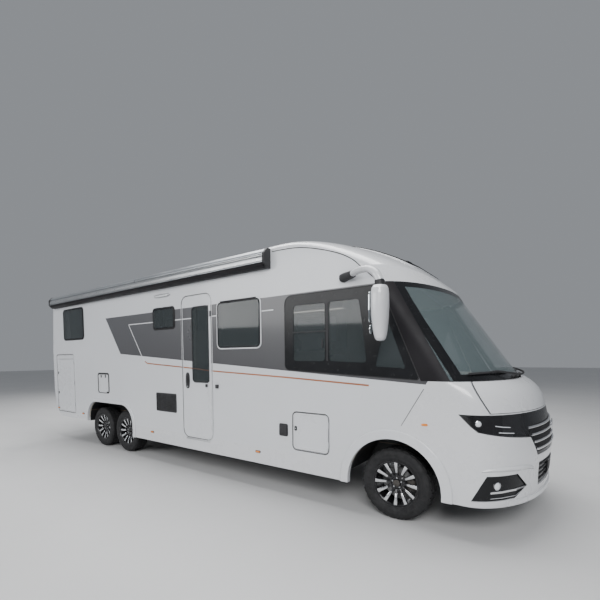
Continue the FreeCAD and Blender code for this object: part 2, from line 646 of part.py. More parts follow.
# ---- chassis, axles and tanks
def chassis():
    x0, x1 = RAIL_X
    top = FLOOR_Z - FLOOR_THICK
    rails = block(x0, x1, RAIL_Y - RAIL_WIDTH / 2, RAIL_Y + RAIL_WIDTH / 2, top - RAIL_HEIGHT, top)
    rails = rails.fuse(mirrored(rails))
    frame = rails
    half = CROSS_MEMBER / 2
    between_tanks = (FRESH_TANK_X[1] + WASTE_TANK_X[0]) / 2
    for x in (x0 + 40, AXLE_XS["rear"] - 465, FRESH_TANK_X[0] - 280, between_tanks, WASTE_TANK_X[1] + 150,
              x1 - 60):
        frame = frame.fuse(block(x - half, x + half, -RAIL_Y, RAIL_Y, top - 130, top - 50))
    low_top = top - 70
    narrow = block(x1 - 10, HORN_X, RAIL_Y - RAIL_WIDTH / 2, RAIL_Y + RAIL_WIDTH / 2, top - RAIL_HEIGHT,
                   low_top)
    frame = frame.fuse(narrow).fuse(mirrored(narrow))
    frame = frame.fuse(block(HORN_X - CROSS_MEMBER, HORN_X, -RAIL_Y, RAIL_Y, top - RAIL_HEIGHT, low_top))
    plate_z = top - RAIL_HEIGHT - TOW_PLATE
    for side in (-1, 1):
        y = side * RAIL_Y
        plate = block(TOW_PLATE_X - 110, TOW_PLATE_X + 110, y - 55, y + 55, plate_z, plate_z + TOW_PLATE)
        frame = frame.fuse(plate)
        for x in (TOW_PLATE_X - TOW_PITCH_X / 2, TOW_PLATE_X + TOW_PITCH_X / 2):
            frame = frame.cut(rod(TOW_BOLT_R, RAIL_HEIGHT, V(x, y, plate_z - 1), V(0, 0, 1)))
    save("chassis_frame", frame)


def hub_spigot(x, side):
    """The stub a wheel turns on: flange and pilot."""
    face = side * (WHEEL_Y + HUB_FACE - HUB_FLANGE - 1.0)
    flange = rod(HUB_R, 12.0, V(x, face, TYRE_R), V(0, -side, 0))
    pilot = rod(HUB_BORE_R - HUB_FIT, 30.0, V(x, face, TYRE_R), V(0, side, 0))
    return flange.fuse(pilot)


def axles():
    pieces = []
    for place in ("middle", "rear"):
        x = AXLE_XS[place]
        beam = rod(55.0, 2 * (WHEEL_Y - 150), V(x + 190, 150 - WHEEL_Y, TYRE_R - 6), V(0, 1, 0))
        axle = beam
        for side in (-1, 1):
            y = side * (WHEEL_Y - 192)
            arm = panel(((x - 45, TYRE_R - 40), (x + 235, TYRE_R - 50), (x + 235, TYRE_R + 38), (x - 45,
                    TYRE_R + 40)),
                        30.0, y - 25, y + 25)
            inner = min(abs(y) - 10, abs(y) + 10)
            stub = rod(38.0, WHEEL_Y + HUB_FACE - HUB_FLANGE - 1.0 - inner, V(x, side * inner, TYRE_R),
                       V(0, side, 0))
            hanger = block(x + 140, x + 240, side * RAIL_Y - 28, side * RAIL_Y + 28, TYRE_R + 20,
                           FLOOR_Z - FLOOR_THICK - RAIL_HEIGHT)
            axle = axle.fuse(arm).fuse(stub).fuse(hub_spigot(x, side)).fuse(hanger)
        pieces.append(axle)
    pieces.append(front_carrier())
    save("axles", *pieces)


def front_carrier():
    """Subframe with one narrow arm a side, each ending in the kingpin's eye."""
    rail_bottom = FLOOR_Z - FLOOR_THICK - RAIL_HEIGHT
    frame = block(-190, 190, -360, 360, TYRE_R - 60, TYRE_R - 5)
    frame = frame.fuse(block(-170, -110, -RAIL_Y - 28, RAIL_Y + 28, TYRE_R - 30, rail_bottom))
    frame = frame.fuse(block(110, 170, -RAIL_Y - 28, RAIL_Y + 28, TYRE_R - 30, rail_bottom))
    for side in (-1, 1):
        y0, y1 = sorted((side * 340.0, side * KINGPIN_Y))
        arm = block(-32, 32, y0, y1, TYRE_R - 36, TYRE_R + 14)
        eye = rod(36.0, 76.0, V(0, side * KINGPIN_Y, TYRE_R - 38), V(0, 0, 1))
        bore = rod(KINGPIN_R + HUB_FIT, 200.0, V(0, side * KINGPIN_Y, TYRE_R - 100), V(0, 0, 1))
        frame = frame.fuse(arm).fuse(eye).cut(bore)
    return frame


def knuckle(side):
    """Fork, kingpin and hub carrier of one steered wheel."""
    y = side * KINGPIN_Y
    face = WHEEL_Y + HUB_FACE - HUB_FLANGE - 1.0
    near = KINGPIN_Y + 42.0
    pin = rod(KINGPIN_R, 116.0, V(0, y, TYRE_R - 58), V(0, 0, 1))
    piece = pin
    for z in (TYRE_R - 62, TYRE_R + 43):
        ya, yb = sorted((y, side * (near + 10)))
        piece = piece.fuse(block(-30, 30, ya, yb, z, z + 18)).fuse(rod(30.0, 18.0, V(0, y, z), V(0, 0, 1)))
    ya, yb = sorted((side * near, side * face))
    piece = piece.fuse(block(-45, 45, ya, yb, TYRE_R - 62, TYRE_R + 61))
    return piece.fuse(hub_spigot(0.0, side))


def wheels():
    for place, x in AXLE_XS.items():
        for side, word in ((-1, "right"), (1, "left")):
            save(f"{place}_{word}_tyre", tyre(x, side))
            save(f"{place}_{word}_rim", rim(x, side))


def spun(points, x, side):
    """Turn an (outward distance, radius) outline about a wheel's own axis."""
    wire = Part.makePolygon([V(x, side * (WHEEL_Y + out), TYRE_R + r) for out, r in points + [points[0]]])
    return Part.Face(wire).revolve(V(x, 0, TYRE_R), V(0, 1, 0), 360)


def tyre(x, side):
    half = TYRE_WIDTH / 2
    bead = half - RIM_DEPTH_EASE
    seat = RIM_R - RIM_EDGE + 1
    section = [(-bead, seat), (-bead, RIM_R), (-half, TYRE_R - 60), (-half + 8, TYRE_R - 16), (-half + 26,
            TYRE_R),
               (half - 26, TYRE_R), (half - 8, TYRE_R - 16), (half, TYRE_R - 60), (bead, RIM_R), (bead, seat)]
    return spun(section, x, side)


def rim(x, side):
    """Barrel with two flanges, and a dished disc pierced by twelve windows."""
    half = TYRE_WIDTH / 2 - RIM_DEPTH_EASE
    well = RIM_R - RIM_EDGE
    barrel = spun([(-half - 10, RIM_R), (-half - 1, RIM_R), (-half - 1, well), (half + 1, well),
                   (half + 1, RIM_R), (half + 10, RIM_R), (half + 10, well - RIM_WALL),
                   (-half - 10, well - RIM_WALL)], x, side)
    face = HUB_FACE - HUB_FLANGE
    disc_edge = well - 2 - RIM_WALL / 2
    disc = spun([(face, HUB_BORE_R), (face + 22, HUB_BORE_R), (face + 24, HUB_R + 8), (half - 6, disc_edge),
                 (half - 24, disc_edge), (face, HUB_R + 4)], x, side)
    window_mid = (disc_edge + HUB_R) / 2
    window_r = (disc_edge - HUB_R) / 6
    for i in range(SPOKES // 2):
        angle = 2 * math.pi * i / (SPOKES // 2)
        for offset, radius in ((0.0, window_r), (math.pi / (SPOKES // 2), window_r * 0.56)):
            a = angle + offset
            hole = rod(radius, 300.0, V(x + window_mid * math.cos(a), side * (WHEEL_Y - 100),
                                        TYRE_R + window_mid * math.sin(a)), V(0, side, 0))
            disc = disc.cut(hole)
    return barrel.fuse(disc)


def heavy_things():
    save("engine", block(*ENGINE))
    tanks = [rounded((*place, *TANK_Z, 30.0), -TANK_REACH, TANK_REACH) for place in (FRESH_TANK_X,
            WASTE_TANK_X)]
    save("water_tanks", *tanks)


# ---- cab and living area
def cab():
    dash = panel(((-30, 1245), (-330, 1110), (-430, 1180), (-395, 1300), (-60, 1345), (880, 1345), (880,
            1245)),
                 (0, 30, 30, 40, 60, 0, 0), -FAR, FAR)
    dash = dash.common(body_form(WALL + 12)).common(block(-FAR, FAR, -FAR, FAR, 1000, COWL_Z - 22))
    dash = dash.cut(rod(SHAFT_R + 6, 400.0, V(*WHEEL_CENTRE), COLUMN_AXIS * -1))
    save("dashboard", dash)
    seats = [cab_seat(y) for y in (-SEAT_Y, SEAT_Y)]
    save("cab_seats", *[solid for seat in seats for solid in seat])
    save("steering_wheel", steering_wheel())


COLUMN_AXIS = V(-math.cos(math.radians(COLUMN_TILT)), 0, math.sin(math.radians(COLUMN_TILT)))


def steering_wheel():
    """Rim, three spokes and boss, tilted on its column."""
    origin = V(0, 0, 0)
    ring = Part.makeTorus(STEERING_R, 16.0, origin, V(0, 0, 1))
    boss = rod(48.0, 46.0, V(0, 0, -38), V(0, 0, 1))
    shaft = rod(SHAFT_R, 130.0, V(0, 0, -150), V(0, 0, 1))
    piece = ring.fuse(boss).fuse(shaft)
    for angle in (90.0, 210.0, 330.0):
        spoke = block(30, STEERING_R, -17, 17, -12, 4)
        spoke.rotate(origin, V(0, 0, 1), angle)
        piece = piece.fuse(spoke)
    piece.rotate(origin, V(0, 1, 0), -(90.0 - COLUMN_TILT))
    piece.translate(V(*WHEEL_CENTRE))
    return piece


def cab_seat(y):
    """Pedestal, cushion, back and headrest of one swivelling seat, each a plain padded form."""
    x = SEAT_X
    top = FLOOR_Z
    pedestal = block(x - 170, x + 170, y - 170, y + 170, top, top + 300)
    cushion = panel(((x - 250, top + 302), (x + 270, top + 302), (x + 290, top + 455), (x - 250,
            top + 425)), 45.0,
                    y - 245, y + 245)
    back = panel(((x - 262, top + 437), (x - 175, top + 462), (x - 330, top + 1060), (x - 430,
            top + 1040)), 38.0,
                 y - 235, y + 235)
    rest = panel(((x - 425, top + 1062), (x - 335, top + 1082), (x - 365, top + 1240), (x - 455,
            top + 1222)), 34.0,
                 y - 130, y + 130)
    return pedestal, cushion, back, rest


def furniture():
    inner = HALF_WIDTH - WALL - 2
    low = FLOOR_Z
    kitchen = block(*KITCHEN, -inner, AISLE_Y, low, low + KITCHEN_TOP)
    pad_top = low + BENCH_BASE + BENCH_PAD
    bench = block(*BENCH, SEAT_Y, inner, low, low + BENCH_BASE)
    bench_pad = block(*BENCH, SEAT_Y, inner - BENCH_PAD, low + BENCH_BASE + PART_GAP, pad_top)
    bench_back = block(*BENCH, inner - BENCH_PAD + 2, inner, low + BENCH_BASE + PART_GAP, low + BENCH_BACK)
    x0, x1, y0, y1 = TABLE
    table_low = low + TABLE_TOP - TABLE_THICK
    leg = rod(45.0, table_low - low, V((x0 + x1) / 2, (y0 + y1) / 2, low), V(0, 0, 1))
    table = rounded((x0, x1, table_low, low + TABLE_TOP, 8.0), y0, y1)
    tall = block(*TALL_CUPBOARD, -inner, AISLE_Y + 140, low, 2010)
    wheel_room = arch_tool("rear", LINER + GAP).common(
        side_band(HALF_WIDTH - ARCH_DEPTH["rear"] - LINER - GAP, FAR))
    screens = []
    for side in (-1, 1):
        ya, yb = sorted((side * SCREEN_Y, side * inner))
        screen = block(SCREEN_X, SCREEN_X + SCREEN_THICK, ya, yb, low, ROOF_Z - ROOF_EDGE_R - GAP)
        screens.append(screen.cut(wheel_room))
    bed = block(*BED, -inner, inner, BED_Z, BED_Z + BED_THICK)
    mattress = block(*MATTRESS, 20 - inner, inner - 20, BED_Z + BED_THICK + PART_GAP, MATTRESS_TOP)
    garage_wall = block(GARAGE_WALL_X, GARAGE_WALL_X + SCREEN_THICK, -inner, inner, low, BED_Z - PART_GAP)
    save("furniture", kitchen, bench, bench_pad, bench_back, leg.fuse(table), tall, *screens, bed, mattress,
         garage_wall)


# ---- outside fittings
def awning():
    x0, x1, z0, z1 = AWNING
    y = -HALF_WIDTH
    wire = Part.Wire([
        Part.LineSegment(V(x0, y, z0 + 12), V(x0, y, z1)).toShape(),
        Part.Arc(V(x0, y, z1), V(x0, y - 78, z1 - 22), V(x0, y - AWNING_DEPTH, z1 - 100)).toShape(),
        Part.LineSegment(V(x0, y - AWNING_DEPTH, z1 - 100), V(x0, y - AWNING_DEPTH, z0 + 70)).toShape(),
        Part.Arc(V(x0, y - AWNING_DEPTH, z0 + 70), V(x0, y - 92, z0 + 14), V(x0, y - 45, z0)).toShape(),
        Part.LineSegment(V(x0, y - 45, z0), V(x0, y, z0 + 12)).toShape()])
    save("awning_case", Part.Face(wire).extrude(V(x1 - x0, 0, 0)))


def bent_path(points, share):
    """Straight runs joined by tangent arcs, each taking a share of the shorter run beside it."""
    edges = []
    last = points[0]
    for before, corner, after in zip(points, points[1:], points[2:]):
        towards = before - corner
        onwards = after - corner
        reach = share * min(towards.Length, onwards.Length)
        half_angle = towards.getAngle(onwards) / 2
        radius = reach * math.tan(half_angle)
        towards.normalize()
        onwards.normalize()
        bisector = (towards + onwards).normalize()
        start = corner + towards * reach
        end = corner + onwards * reach
        middle = corner + bisector * (radius / math.sin(half_angle) - radius)
        edges.append(Part.LineSegment(last, start).toShape())
        edges.append(Part.Arc(start, middle, end).toShape())
        last = end
    edges.append(Part.LineSegment(last, points[-1]).toShape())
    return edges


def mirror_right():
    """Bracket on the side of the cap, swept arm and hanging head."""
    x0, x1, z0, z1 = MIRROR_HEAD
    y0 = -MIRROR_HALF_SPAN
    head = block(x0, x1, y0, y0 + MIRROR_HEAD_WIDTH, z0, z1)
    head = head.makeFillet(45.0, [edge for edge in head.Edges
                                  if abs(edge.Vertexes[0].Z - edge.Vertexes[-1].Z) > 100])
    wall = -HALF_WIDTH
    fx0, fx1, fz0, fz1 = MIRROR_FOOT
    face = wall - MIRROR_FOOT_DEPTH
    foot = block(fx0, fx1, face, wall, fz0, fz1)
    foot = foot.makeFillet(12.0, [edge for edge in foot.Edges if all(v.Y < face + 1 for v in edge.Vertexes)])
    piece = head.fuse(foot)
    middle_y = y0 + MIRROR_HEAD_WIDTH / 2
    route = [V((fx0 + fx1) / 2, face + 2, (fz0 + fz1) / 2), V(-310, wall - 120, 2414), V(-160, wall - 205,
            2396),
             V(-60, middle_y, 2335), V(-25, middle_y, z1 - 20)]
    spine = Part.Wire(bent_path(route, 0.42))
    ring = Part.Wire([Part.makeCircle(MIRROR_ARM_R, route[0], route[1] - route[0])])
    arm = Part.Solid(spine.makePipeShell([ring], True, True))
    return piece.fuse(arm)


side_walls()
skirts()
tail_and_roof()
roof_windows()
front_end()
lights()
glazing()
doors()
floor()
chassis()
axles()
save("right_knuckle", knuckle(-1))
save("left_knuckle", knuckle(1))
wheels()
heavy_things()
cab()
furniture()
awning()
RIGHT_MIRROR = mirror_right()
save("mirrors", RIGHT_MIRROR, mirrored(RIGHT_MIRROR))
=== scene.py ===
# %% [markdown]
# # A tandem-axle motorhome, dressed around its CAD frame
# The vehicle is 8.7 m long, with a moulded wrap-round front, flat sandwich walls and a garage at the back.
# The CAD nodes give every panel its real place. This lesson paints them, and models what CAD leaves out:
# tread,
# spokes, bright trim, lamps, curtains, cushions and fittings. Each piece rides on the CAD body that
# carries it.

# %% Load the frame
import math
import bmesh
import bpy
from mathutils import Matrix, Vector
from mathutils.bvhtree import BVHTree


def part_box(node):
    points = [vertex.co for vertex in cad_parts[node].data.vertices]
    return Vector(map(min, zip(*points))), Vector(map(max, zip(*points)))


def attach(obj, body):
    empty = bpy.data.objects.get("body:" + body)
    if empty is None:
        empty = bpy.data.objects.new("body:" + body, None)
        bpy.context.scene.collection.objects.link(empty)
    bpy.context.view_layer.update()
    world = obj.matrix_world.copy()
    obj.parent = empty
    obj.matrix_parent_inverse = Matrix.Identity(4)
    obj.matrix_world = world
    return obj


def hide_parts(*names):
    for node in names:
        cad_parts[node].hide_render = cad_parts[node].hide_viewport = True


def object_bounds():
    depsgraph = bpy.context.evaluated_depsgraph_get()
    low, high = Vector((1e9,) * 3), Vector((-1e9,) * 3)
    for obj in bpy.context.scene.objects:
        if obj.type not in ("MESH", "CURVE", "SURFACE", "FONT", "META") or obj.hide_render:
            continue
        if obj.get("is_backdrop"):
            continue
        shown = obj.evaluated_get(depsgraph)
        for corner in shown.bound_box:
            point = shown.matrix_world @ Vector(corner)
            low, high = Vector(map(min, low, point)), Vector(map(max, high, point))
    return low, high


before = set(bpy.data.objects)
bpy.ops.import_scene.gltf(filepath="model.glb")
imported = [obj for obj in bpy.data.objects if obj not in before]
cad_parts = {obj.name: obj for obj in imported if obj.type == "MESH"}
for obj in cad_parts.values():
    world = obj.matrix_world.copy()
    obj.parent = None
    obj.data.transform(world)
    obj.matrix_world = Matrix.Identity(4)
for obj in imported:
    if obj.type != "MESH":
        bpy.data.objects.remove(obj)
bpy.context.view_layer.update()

# %% [markdown]
# ## Where things are
# Heights are above the ground. Distances along the vehicle are easiest to think of from the front axle, as a
# body builder does, so `at()` turns them into the frame's own x. The main lines come from the CAD boxes.

# %% Driving places
AXLE_X = sum(corner.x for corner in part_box("front_right_tyre")) / 2
WALL_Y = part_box("rear_panel")[1].y
TYRE_R = (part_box("front_right_tyre")[1].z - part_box("front_right_tyre")[0].z) / 2
SIDES = {"right": -1, "left": 1}


def at(x, y, z):
    """A point given by its distance ahead of the front axle."""
    return Vector((x + AXLE_X, y, z))


print("front axle", round(AXLE_X, 3), "wall", round(WALL_Y, 3), "tyre radius", round(TYRE_R, 3))

# %% [markdown]
# ## Sub-shapes
# Every piece is made of a few sub-shapes: a softened block, a plate cut from an outline, a section
# carried along a
# path, or an outline spun on a lathe. Each one is finished by itself and then added to its piece, so
# bevels and
# normals of one never disturb another.

# %% Blocks, plates, sweeps and turned shapes
def soften(bm, width, segments=2, angle=30.0):
    """Rounds every edge sharper than the angle."""
    edges = [edge for edge in bm.edges if len(edge.link_faces) == 2
             and edge.calc_face_angle(0.0) > math.radians(angle)]
    bmesh.ops.bevel(bm, geom=edges, offset=width, offset_type="OFFSET", affect="EDGES", segments=segments,
                    profile=0.5, material=-1, clamp_overlap=True)
    return bm


def block(low, high, bevel=0.0, segments=2):
    """A box between two corners, with rounded edges."""
    low, high = Vector(low), Vector(high)
    bm = bmesh.new()
    fit = Matrix.Translation((low + high) / 2) @ Matrix.Diagonal((*(high - low), 1.0))
    bmesh.ops.create_cube(bm, size=1.0, matrix=fit)
    return soften(bm, bevel, segments) if bevel else bm


def rounded(points, radii, steps=5):
    """The corners of a closed outline, each turned into a few points of an arc."""
    count = len(points)
    radii = radii if isinstance(radii, (list, tuple)) else [radii] * count
    line = []
    for i, radius in enumerate(radii):
        here = Vector(points[i])
        before = (Vector(points[i - 1]) - here).normalized()
        after = (Vector(points[(i + 1) % count]) - here).normalized()
        if radius <= 0:
            line.append(tuple(here))
            continue
        half = before.angle(after) / 2
        centre = here + (before + after).normalized() * radius / math.sin(half)
        start = here + before * radius / math.tan(half) - centre
        end = here + after * radius / math.tan(half) - centre
        sweep = start.angle_signed(end)
        for k in range(steps + 1):
            line.append(tuple(centre + Matrix.Rotation(-sweep * k / steps, 2) @ start))
    return line


def rectangle(x0, x1, z0, z1, radius=0.0, grow=0.0):
    """A rounded rectangle in side view, in distances from the front axle."""
    x0, x1, z0, z1 = x0 - grow, x1 + grow, z0 - grow, z1 + grow
    return rounded([(x0, z0), (x1, z0), (x1, z1), (x0, z1)], max(radius + grow, 0.0))


def points_of(made):
    """The vertices among the elements that an operator made."""
    return [part for part in made if isinstance(part, bmesh.types.BMVert)]


def plate(outline, y0, y1, holes=(), bevel=0.0, segments=1):
    """A flat outline in side view with holes in it, thick from y0 to y1."""
    bm = bmesh.new()
    for loop in (outline, *holes):
        verts = [bm.verts.new(at(x, y0, z)) for x, z in loop]
        for start, end in zip(verts, verts[1:] + verts[:1]):
            bm.edges.new((start, end))
    bmesh.ops.triangle_fill(bm, use_beauty=True, use_dissolve=True, edges=bm.edges[:])
    made = bmesh.ops.extrude_face_region(bm, geom=bm.faces[:])["geom"]
    bmesh.ops.translate(bm, vec=(0, y1 - y0, 0), verts=points_of(made))
    bmesh.ops.recalc_face_normals(bm, faces=bm.faces)
    return soften(bm, bevel, segments) if bevel else bm


def swept(path, section, side, closed=False, scales=None):
    """Carries a closed section along a path: its first axis points to side, its second across the path."""
    path = [Vector(point) for point in path]
    count = len(path)
    sides = side if isinstance(side, list) else [side] * count
    frames = []
    for k, point in enumerate(path):
        before = path[k - 1] if closed or k else point
        after = path[(k + 1) % count] if closed or k < count - 1 else point
        along = (after - before).normalized()
        out = Vector(sides[k])
        out = (out - along * out.dot(along)).normalized()
        across = along.cross(out)
        grow = scales[k] if scales else (1.0, 1.0)
        turn = Matrix((out * grow[0], across * grow[1], along)).transposed().to_4x4()
        frames.append(Matrix.Translation(point) @ turn)
    bm = bmesh.new()
    first = bm.faces.new([bm.verts.new(frames[0] @ Vector((p, q, 0))) for p, q in section])
    face = first
    for k in range(1, count + (1 if closed else 0)):
        made = bmesh.ops.extrude_face_region(bm, geom=[face])["geom"]
        face = next(part for part in made if isinstance(part, bmesh.types.BMFace))
        step = frames[k % count] @ frames[k - 1].inverted()
        bmesh.ops.transform(bm, matrix=step, verts=face.verts)
    if closed:
        bmesh.ops.delete(bm, geom=[face, first], context="FACES_ONLY")
        bmesh.ops.remove_doubles(bm, verts=bm.verts, dist=1e-5)
    bmesh.ops.recalc_face_normals(bm, faces=bm.faces)
    return bm


def ring_of(radius, points=12):
    """A round section."""
    return [(radius * math.cos(2 * math.pi * k / points), radius * math.sin(2 * math.pi * k / points))
            for k in range(points)]


def bar_of(thick, width, radius=0.0, base=0.0):
    """A flat section that stands from base to thick, with rounded outer corners."""
    return rounded([(base, -width / 2), (thick, -width / 2), (thick, width / 2), (base, width / 2)],
                   [0.0, radius, radius, 0.0], 3)


def tube(path, radius, points=12):
    """A round bar along a path."""
    steep = abs((Vector(path[-1]) - Vector(path[0])).normalized().z) > 0.9
    return swept(path, ring_of(radius, points), (1, 0, 0) if steep else (0, 0, 1))


def turned(profile, steps=48, closed=True):
    """Spins an outline of (y, radius) points about the Y axis."""
    bm = bmesh.new()
    verts = [bm.verts.new((0, y, radius)) for y, radius in profile]
    pairs = list(zip(verts, verts[1:])) + ([(verts[-1], verts[0])] if closed else [])
    edges = [bm.edges.new(pair) for pair in pairs]
    bmesh.ops.spin(bm, geom=verts + edges, cent=(0, 0, 0), axis=(0, 1, 0), dvec=(0, 0, 0), angle=2 * math.pi,
                   steps=steps, use_merge=True, use_duplicate=False)
    bmesh.ops.remove_doubles(bm, verts=bm.verts, dist=1e-5)
    bmesh.ops.recalc_face_normals(bm, faces=bm.faces)
    return bm


def add(bm, part, place=None, finish=None):
    """Puts a finished sub-shape into a piece, where place says, with one of the piece's finishes."""
    if place:
        bmesh.ops.transform(part, matrix=place, verts=part.verts)
    if finish is not None:
        for face in part.faces:
            face.material_index = finish
    mesh = bpy.data.meshes.new("part")
    part.to_mesh(mesh)
    part.free()
    bm.from_mesh(mesh)
    bpy.data.meshes.remove(mesh)
    return bm


def add_both(bm, make, finish=None):
    """Adds what make() returns on the right side, and its mirror image on the left."""
    add(bm, make(), finish=finish)
    left = make()
    bmesh.ops.scale(left, vec=(1, -1, 1), verts=left.verts)
    bmesh.ops.recalc_face_normals(left, faces=left.faces)
    return add(bm, left, finish=finish)


def piece(name, bm, finishes, body="body", crease=35.0):
    """Makes the object, smooth apart from its creases, and lets it ride on a body."""
    mesh = bpy.data.meshes.new(name)
    bm.to_mesh(mesh)
    bm.free()
    mesh.shade_smooth()
    mesh.set_sharp_from_angle(angle=math.radians(crease))
    for finish in finishes if isinstance(finishes, (list, tuple)) else [finishes]:
        mesh.materials.append(finish)
    made = bpy.data.objects.new(name, mesh)
    bpy.context.scene.collection.objects.link(made)
    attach(made, body)
    print(f"{name}: {len(mesh.polygons)} faces on {body}")
    return made


# %% [markdown]
# ## Laying things on the bodywork
# Bright trim, seals and wipers follow panels that curve two ways. A ray shot at the CAD mesh finds the
# panel's true
# surface and its normal, so trim sits on the panel with no numbers of its own.

# %% Rays onto a node
TREES = {}


def tree_of(node):
    """A node's mesh, ready to be shot at."""
    if node not in TREES:
        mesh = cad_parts[node].data
        TREES[node] = BVHTree.FromPolygons([v.co for v in mesh.vertices],
                                           [p.vertices[:] for p in mesh.polygons])
    return TREES[node]


def onto(node, start, towards):
    """Where a ray meets a node, and the surface's normal there."""
    spot, normal, _, _ = tree_of(node).ray_cast(Vector(start), Vector(towards).normalized())
    if spot is None:
        raise ValueError(f"no surface of {node} from {start}")
    return spot, normal


def near(node, point, lift=0.0):
    """The nearest place on a node's outer surface to a point, lifted off it, and the normal there."""
    spot, normal, _, _ = tree_of(node).find_nearest(Vector(point))
    if normal.dot(Vector(point) - spot) < 0 and (Vector(point) - spot).length > 1e-4:
        normal = -normal
    return spot + normal * lift, normal


def laid(node, points, towards, lift=0.0):
    """Points shot onto a node, lifted along its normals: the places and the normals."""
    hits = [onto(node, point, towards) for point in points]
    normals = [normal if normal.dot(Vector(towards)) < 0 else -normal for _, normal in hits]
    return [spot + normal * lift for (spot, _), normal in zip(hits, normals)], normals


def between(start, end, steps):
    """Evenly spaced points from start to end."""
    start, end = Vector(start), Vector(end)
    return [start.lerp(end, k / steps) for k in range(steps + 1)]


print("bonnet is at", onto("bonnet", at(3, 0, 1.2), (-1, 0, 0))[0])

# %% [markdown]
# ## Finishes
# A real panel is never one flat colour: pigment lies in broad soft patches, gloss changes with handling,
# and the surface has a fine texture.

# %% A procedural finish
def node_of(tree, kind, **inputs):
    """A shader node with some of its sockets set."""
    node = tree.nodes.new(kind)
    for name, value in inputs.items():
        node.inputs[name.replace("_", " ")].default_value = value
    return node


def ranged(tree, source, low, high, start=0.3, end=0.7):
    """A noise output stretched to run from low to high."""
    ramp = node_of(tree, "ShaderNodeMapRange", From_Min=start, From_Max=end, To_Min=low, To_Max=high)
    tree.links.new(source, ramp.inputs["Value"])
    return ramp.outputs["Result"]


def blended(tree, factor, first, second):
    """Two colours, or colour outputs, mixed by a factor output."""
    mix = tree.nodes.new("ShaderNodeMix")
    mix.data_type = "RGBA"
    tree.links.new(factor, mix.inputs["Factor"])
    for name, value in (("A", first), ("B", second)):
        socket = next(s for s in mix.inputs if s.name == name and s.type == "RGBA")
        if isinstance(value, bpy.types.NodeSocket):
            tree.links.new(value, socket)
        else:
            socket.default_value = (*value, 1.0)
    return next(s for s in mix.outputs if s.type == "RGBA")


def finish(name, colour, rough=0.4, metal=0.0, vary=0.07, patch=2.5, grain=150.0, relief=0.0003, wear=0.25,
           **sockets):
    """Colour in soft patches, gloss that varies by wear, and a fine grain that stands relief metres proud."""
    material = bpy.data.materials.new(name)
    material.use_nodes = True
    tree = material.node_tree
    shader = tree.nodes["Principled BSDF"]
    place = tree.nodes.new("ShaderNodeTexCoord")
    place.name = "place"
    patches = node_of(tree, "ShaderNodeTexNoise", Scale=patch, Detail=5.0, Roughness=0.55)
    smears = node_of(tree, "ShaderNodeTexNoise", Scale=patch * 4.3, Detail=6.0, Roughness=0.65)
    texture = node_of(tree, "ShaderNodeTexNoise", Scale=grain, Detail=3.0, Roughness=0.6)
    for noise in (patches, smears, texture):
        tree.links.new(place.outputs["Object"], noise.inputs["Vector"])
    dark = tuple(c * (1 - vary) for c in colour)
    light = tuple(min(c * (1 + vary), 1.0) for c in colour)
    tone = blended(tree, ranged(tree, patches.outputs["Fac"], 0.0, 1.0), dark, light)
    tree.links.new(tone, shader.inputs["Base Color"])
    gloss = ranged(tree, smears.outputs["Fac"], rough * (1 - wear), min(rough * (1 + wear), 1.0))
    tree.links.new(gloss, shader.inputs["Roughness"])
    bump = node_of(tree, "ShaderNodeBump", Strength=0.6, Distance=relief)
    tree.links.new(texture.outputs["Fac"], bump.inputs["Height"])
    tree.links.new(bump.outputs["Normal"], shader.inputs["Normal"])
    shader.inputs["Metallic"].default_value = metal
    for socket, value in sockets.items():
        shader.inputs[socket.replace("_", " ")].default_value = value
    return material


WHITE = (0.66, 0.675, 0.70)
paint = dict(rough=0.34, wear=0.06, vary=0.025, patch=0.7, grain=420.0, relief=0.00004, Coat_Weight=0.35,
             Coat_Roughness=0.12)
white_paint = finish("white paint", WHITE, **paint)
moulded_white = finish("moulded white", (0.67, 0.68, 0.70), **{**paint, "rough": 0.28, "Coat_Weight": 0.9})
pinstripe = finish("pinstripe film", (0.72, 0.73, 0.75), rough=0.35, vary=0.04, patch=9.0, relief=0.00005)
copper = finish("copper film", (0.42, 0.16, 0.075), rough=0.34, metal=0.35, vary=0.1, patch=2.0,
                relief=0.00005)
charcoal = finish("charcoal lacquer", (0.016, 0.015, 0.017), rough=0.46, wear=0.1, vary=0.15,
                  relief=0.00006, grain=260.0, Specular_IOR_Level=0.12)
acrylic_black = finish("black acrylic", (0.010, 0.0105, 0.012), rough=0.24, vary=0.2, patch=4.0,
                       relief=0.00004, Specular_IOR_Level=0.25)
textured_black = finish("textured black", (0.022, 0.022, 0.024), rough=0.6, vary=0.15, grain=260.0,
                        relief=0.0006)
rubber = finish("sealing rubber", (0.014, 0.014, 0.015), rough=0.72, vary=0.2, patch=8.0, grain=340.0,
                relief=0.0004)
chrome = finish("chrome", (0.80, 0.80, 0.81), rough=0.10, metal=1.0, vary=0.03, patch=6.0, relief=0.00003)
satin_metal = finish("satin metal", (0.56, 0.57, 0.58), rough=0.34, metal=1.0, vary=0.06, patch=6.0,
                     relief=0.0001)
anodised = finish("anodised case", (0.40, 0.42, 0.44), rough=0.36, metal=0.85, vary=0.07, patch=1.2,
                  relief=0.00008)
galvanised = finish("galvanised steel", (0.34, 0.35, 0.36), rough=0.5, metal=0.8, vary=0.3, patch=14.0,
                    relief=0.0002)
axle_steel = finish("axle steel", (0.035, 0.035, 0.037), rough=0.55, metal=0.3, vary=0.35, patch=9.0,
                    relief=0.0005)
cast_iron = finish("cast iron", (0.075, 0.068, 0.062), rough=0.68, metal=0.4, vary=0.35, patch=16.0,
                   relief=0.0009)
brake_iron = finish("brake iron", (0.20, 0.20, 0.20), rough=0.38, metal=0.8, vary=0.25, patch=12.0,
                    relief=0.0002)
print("first finishes made:", len(bpy.data.materials))

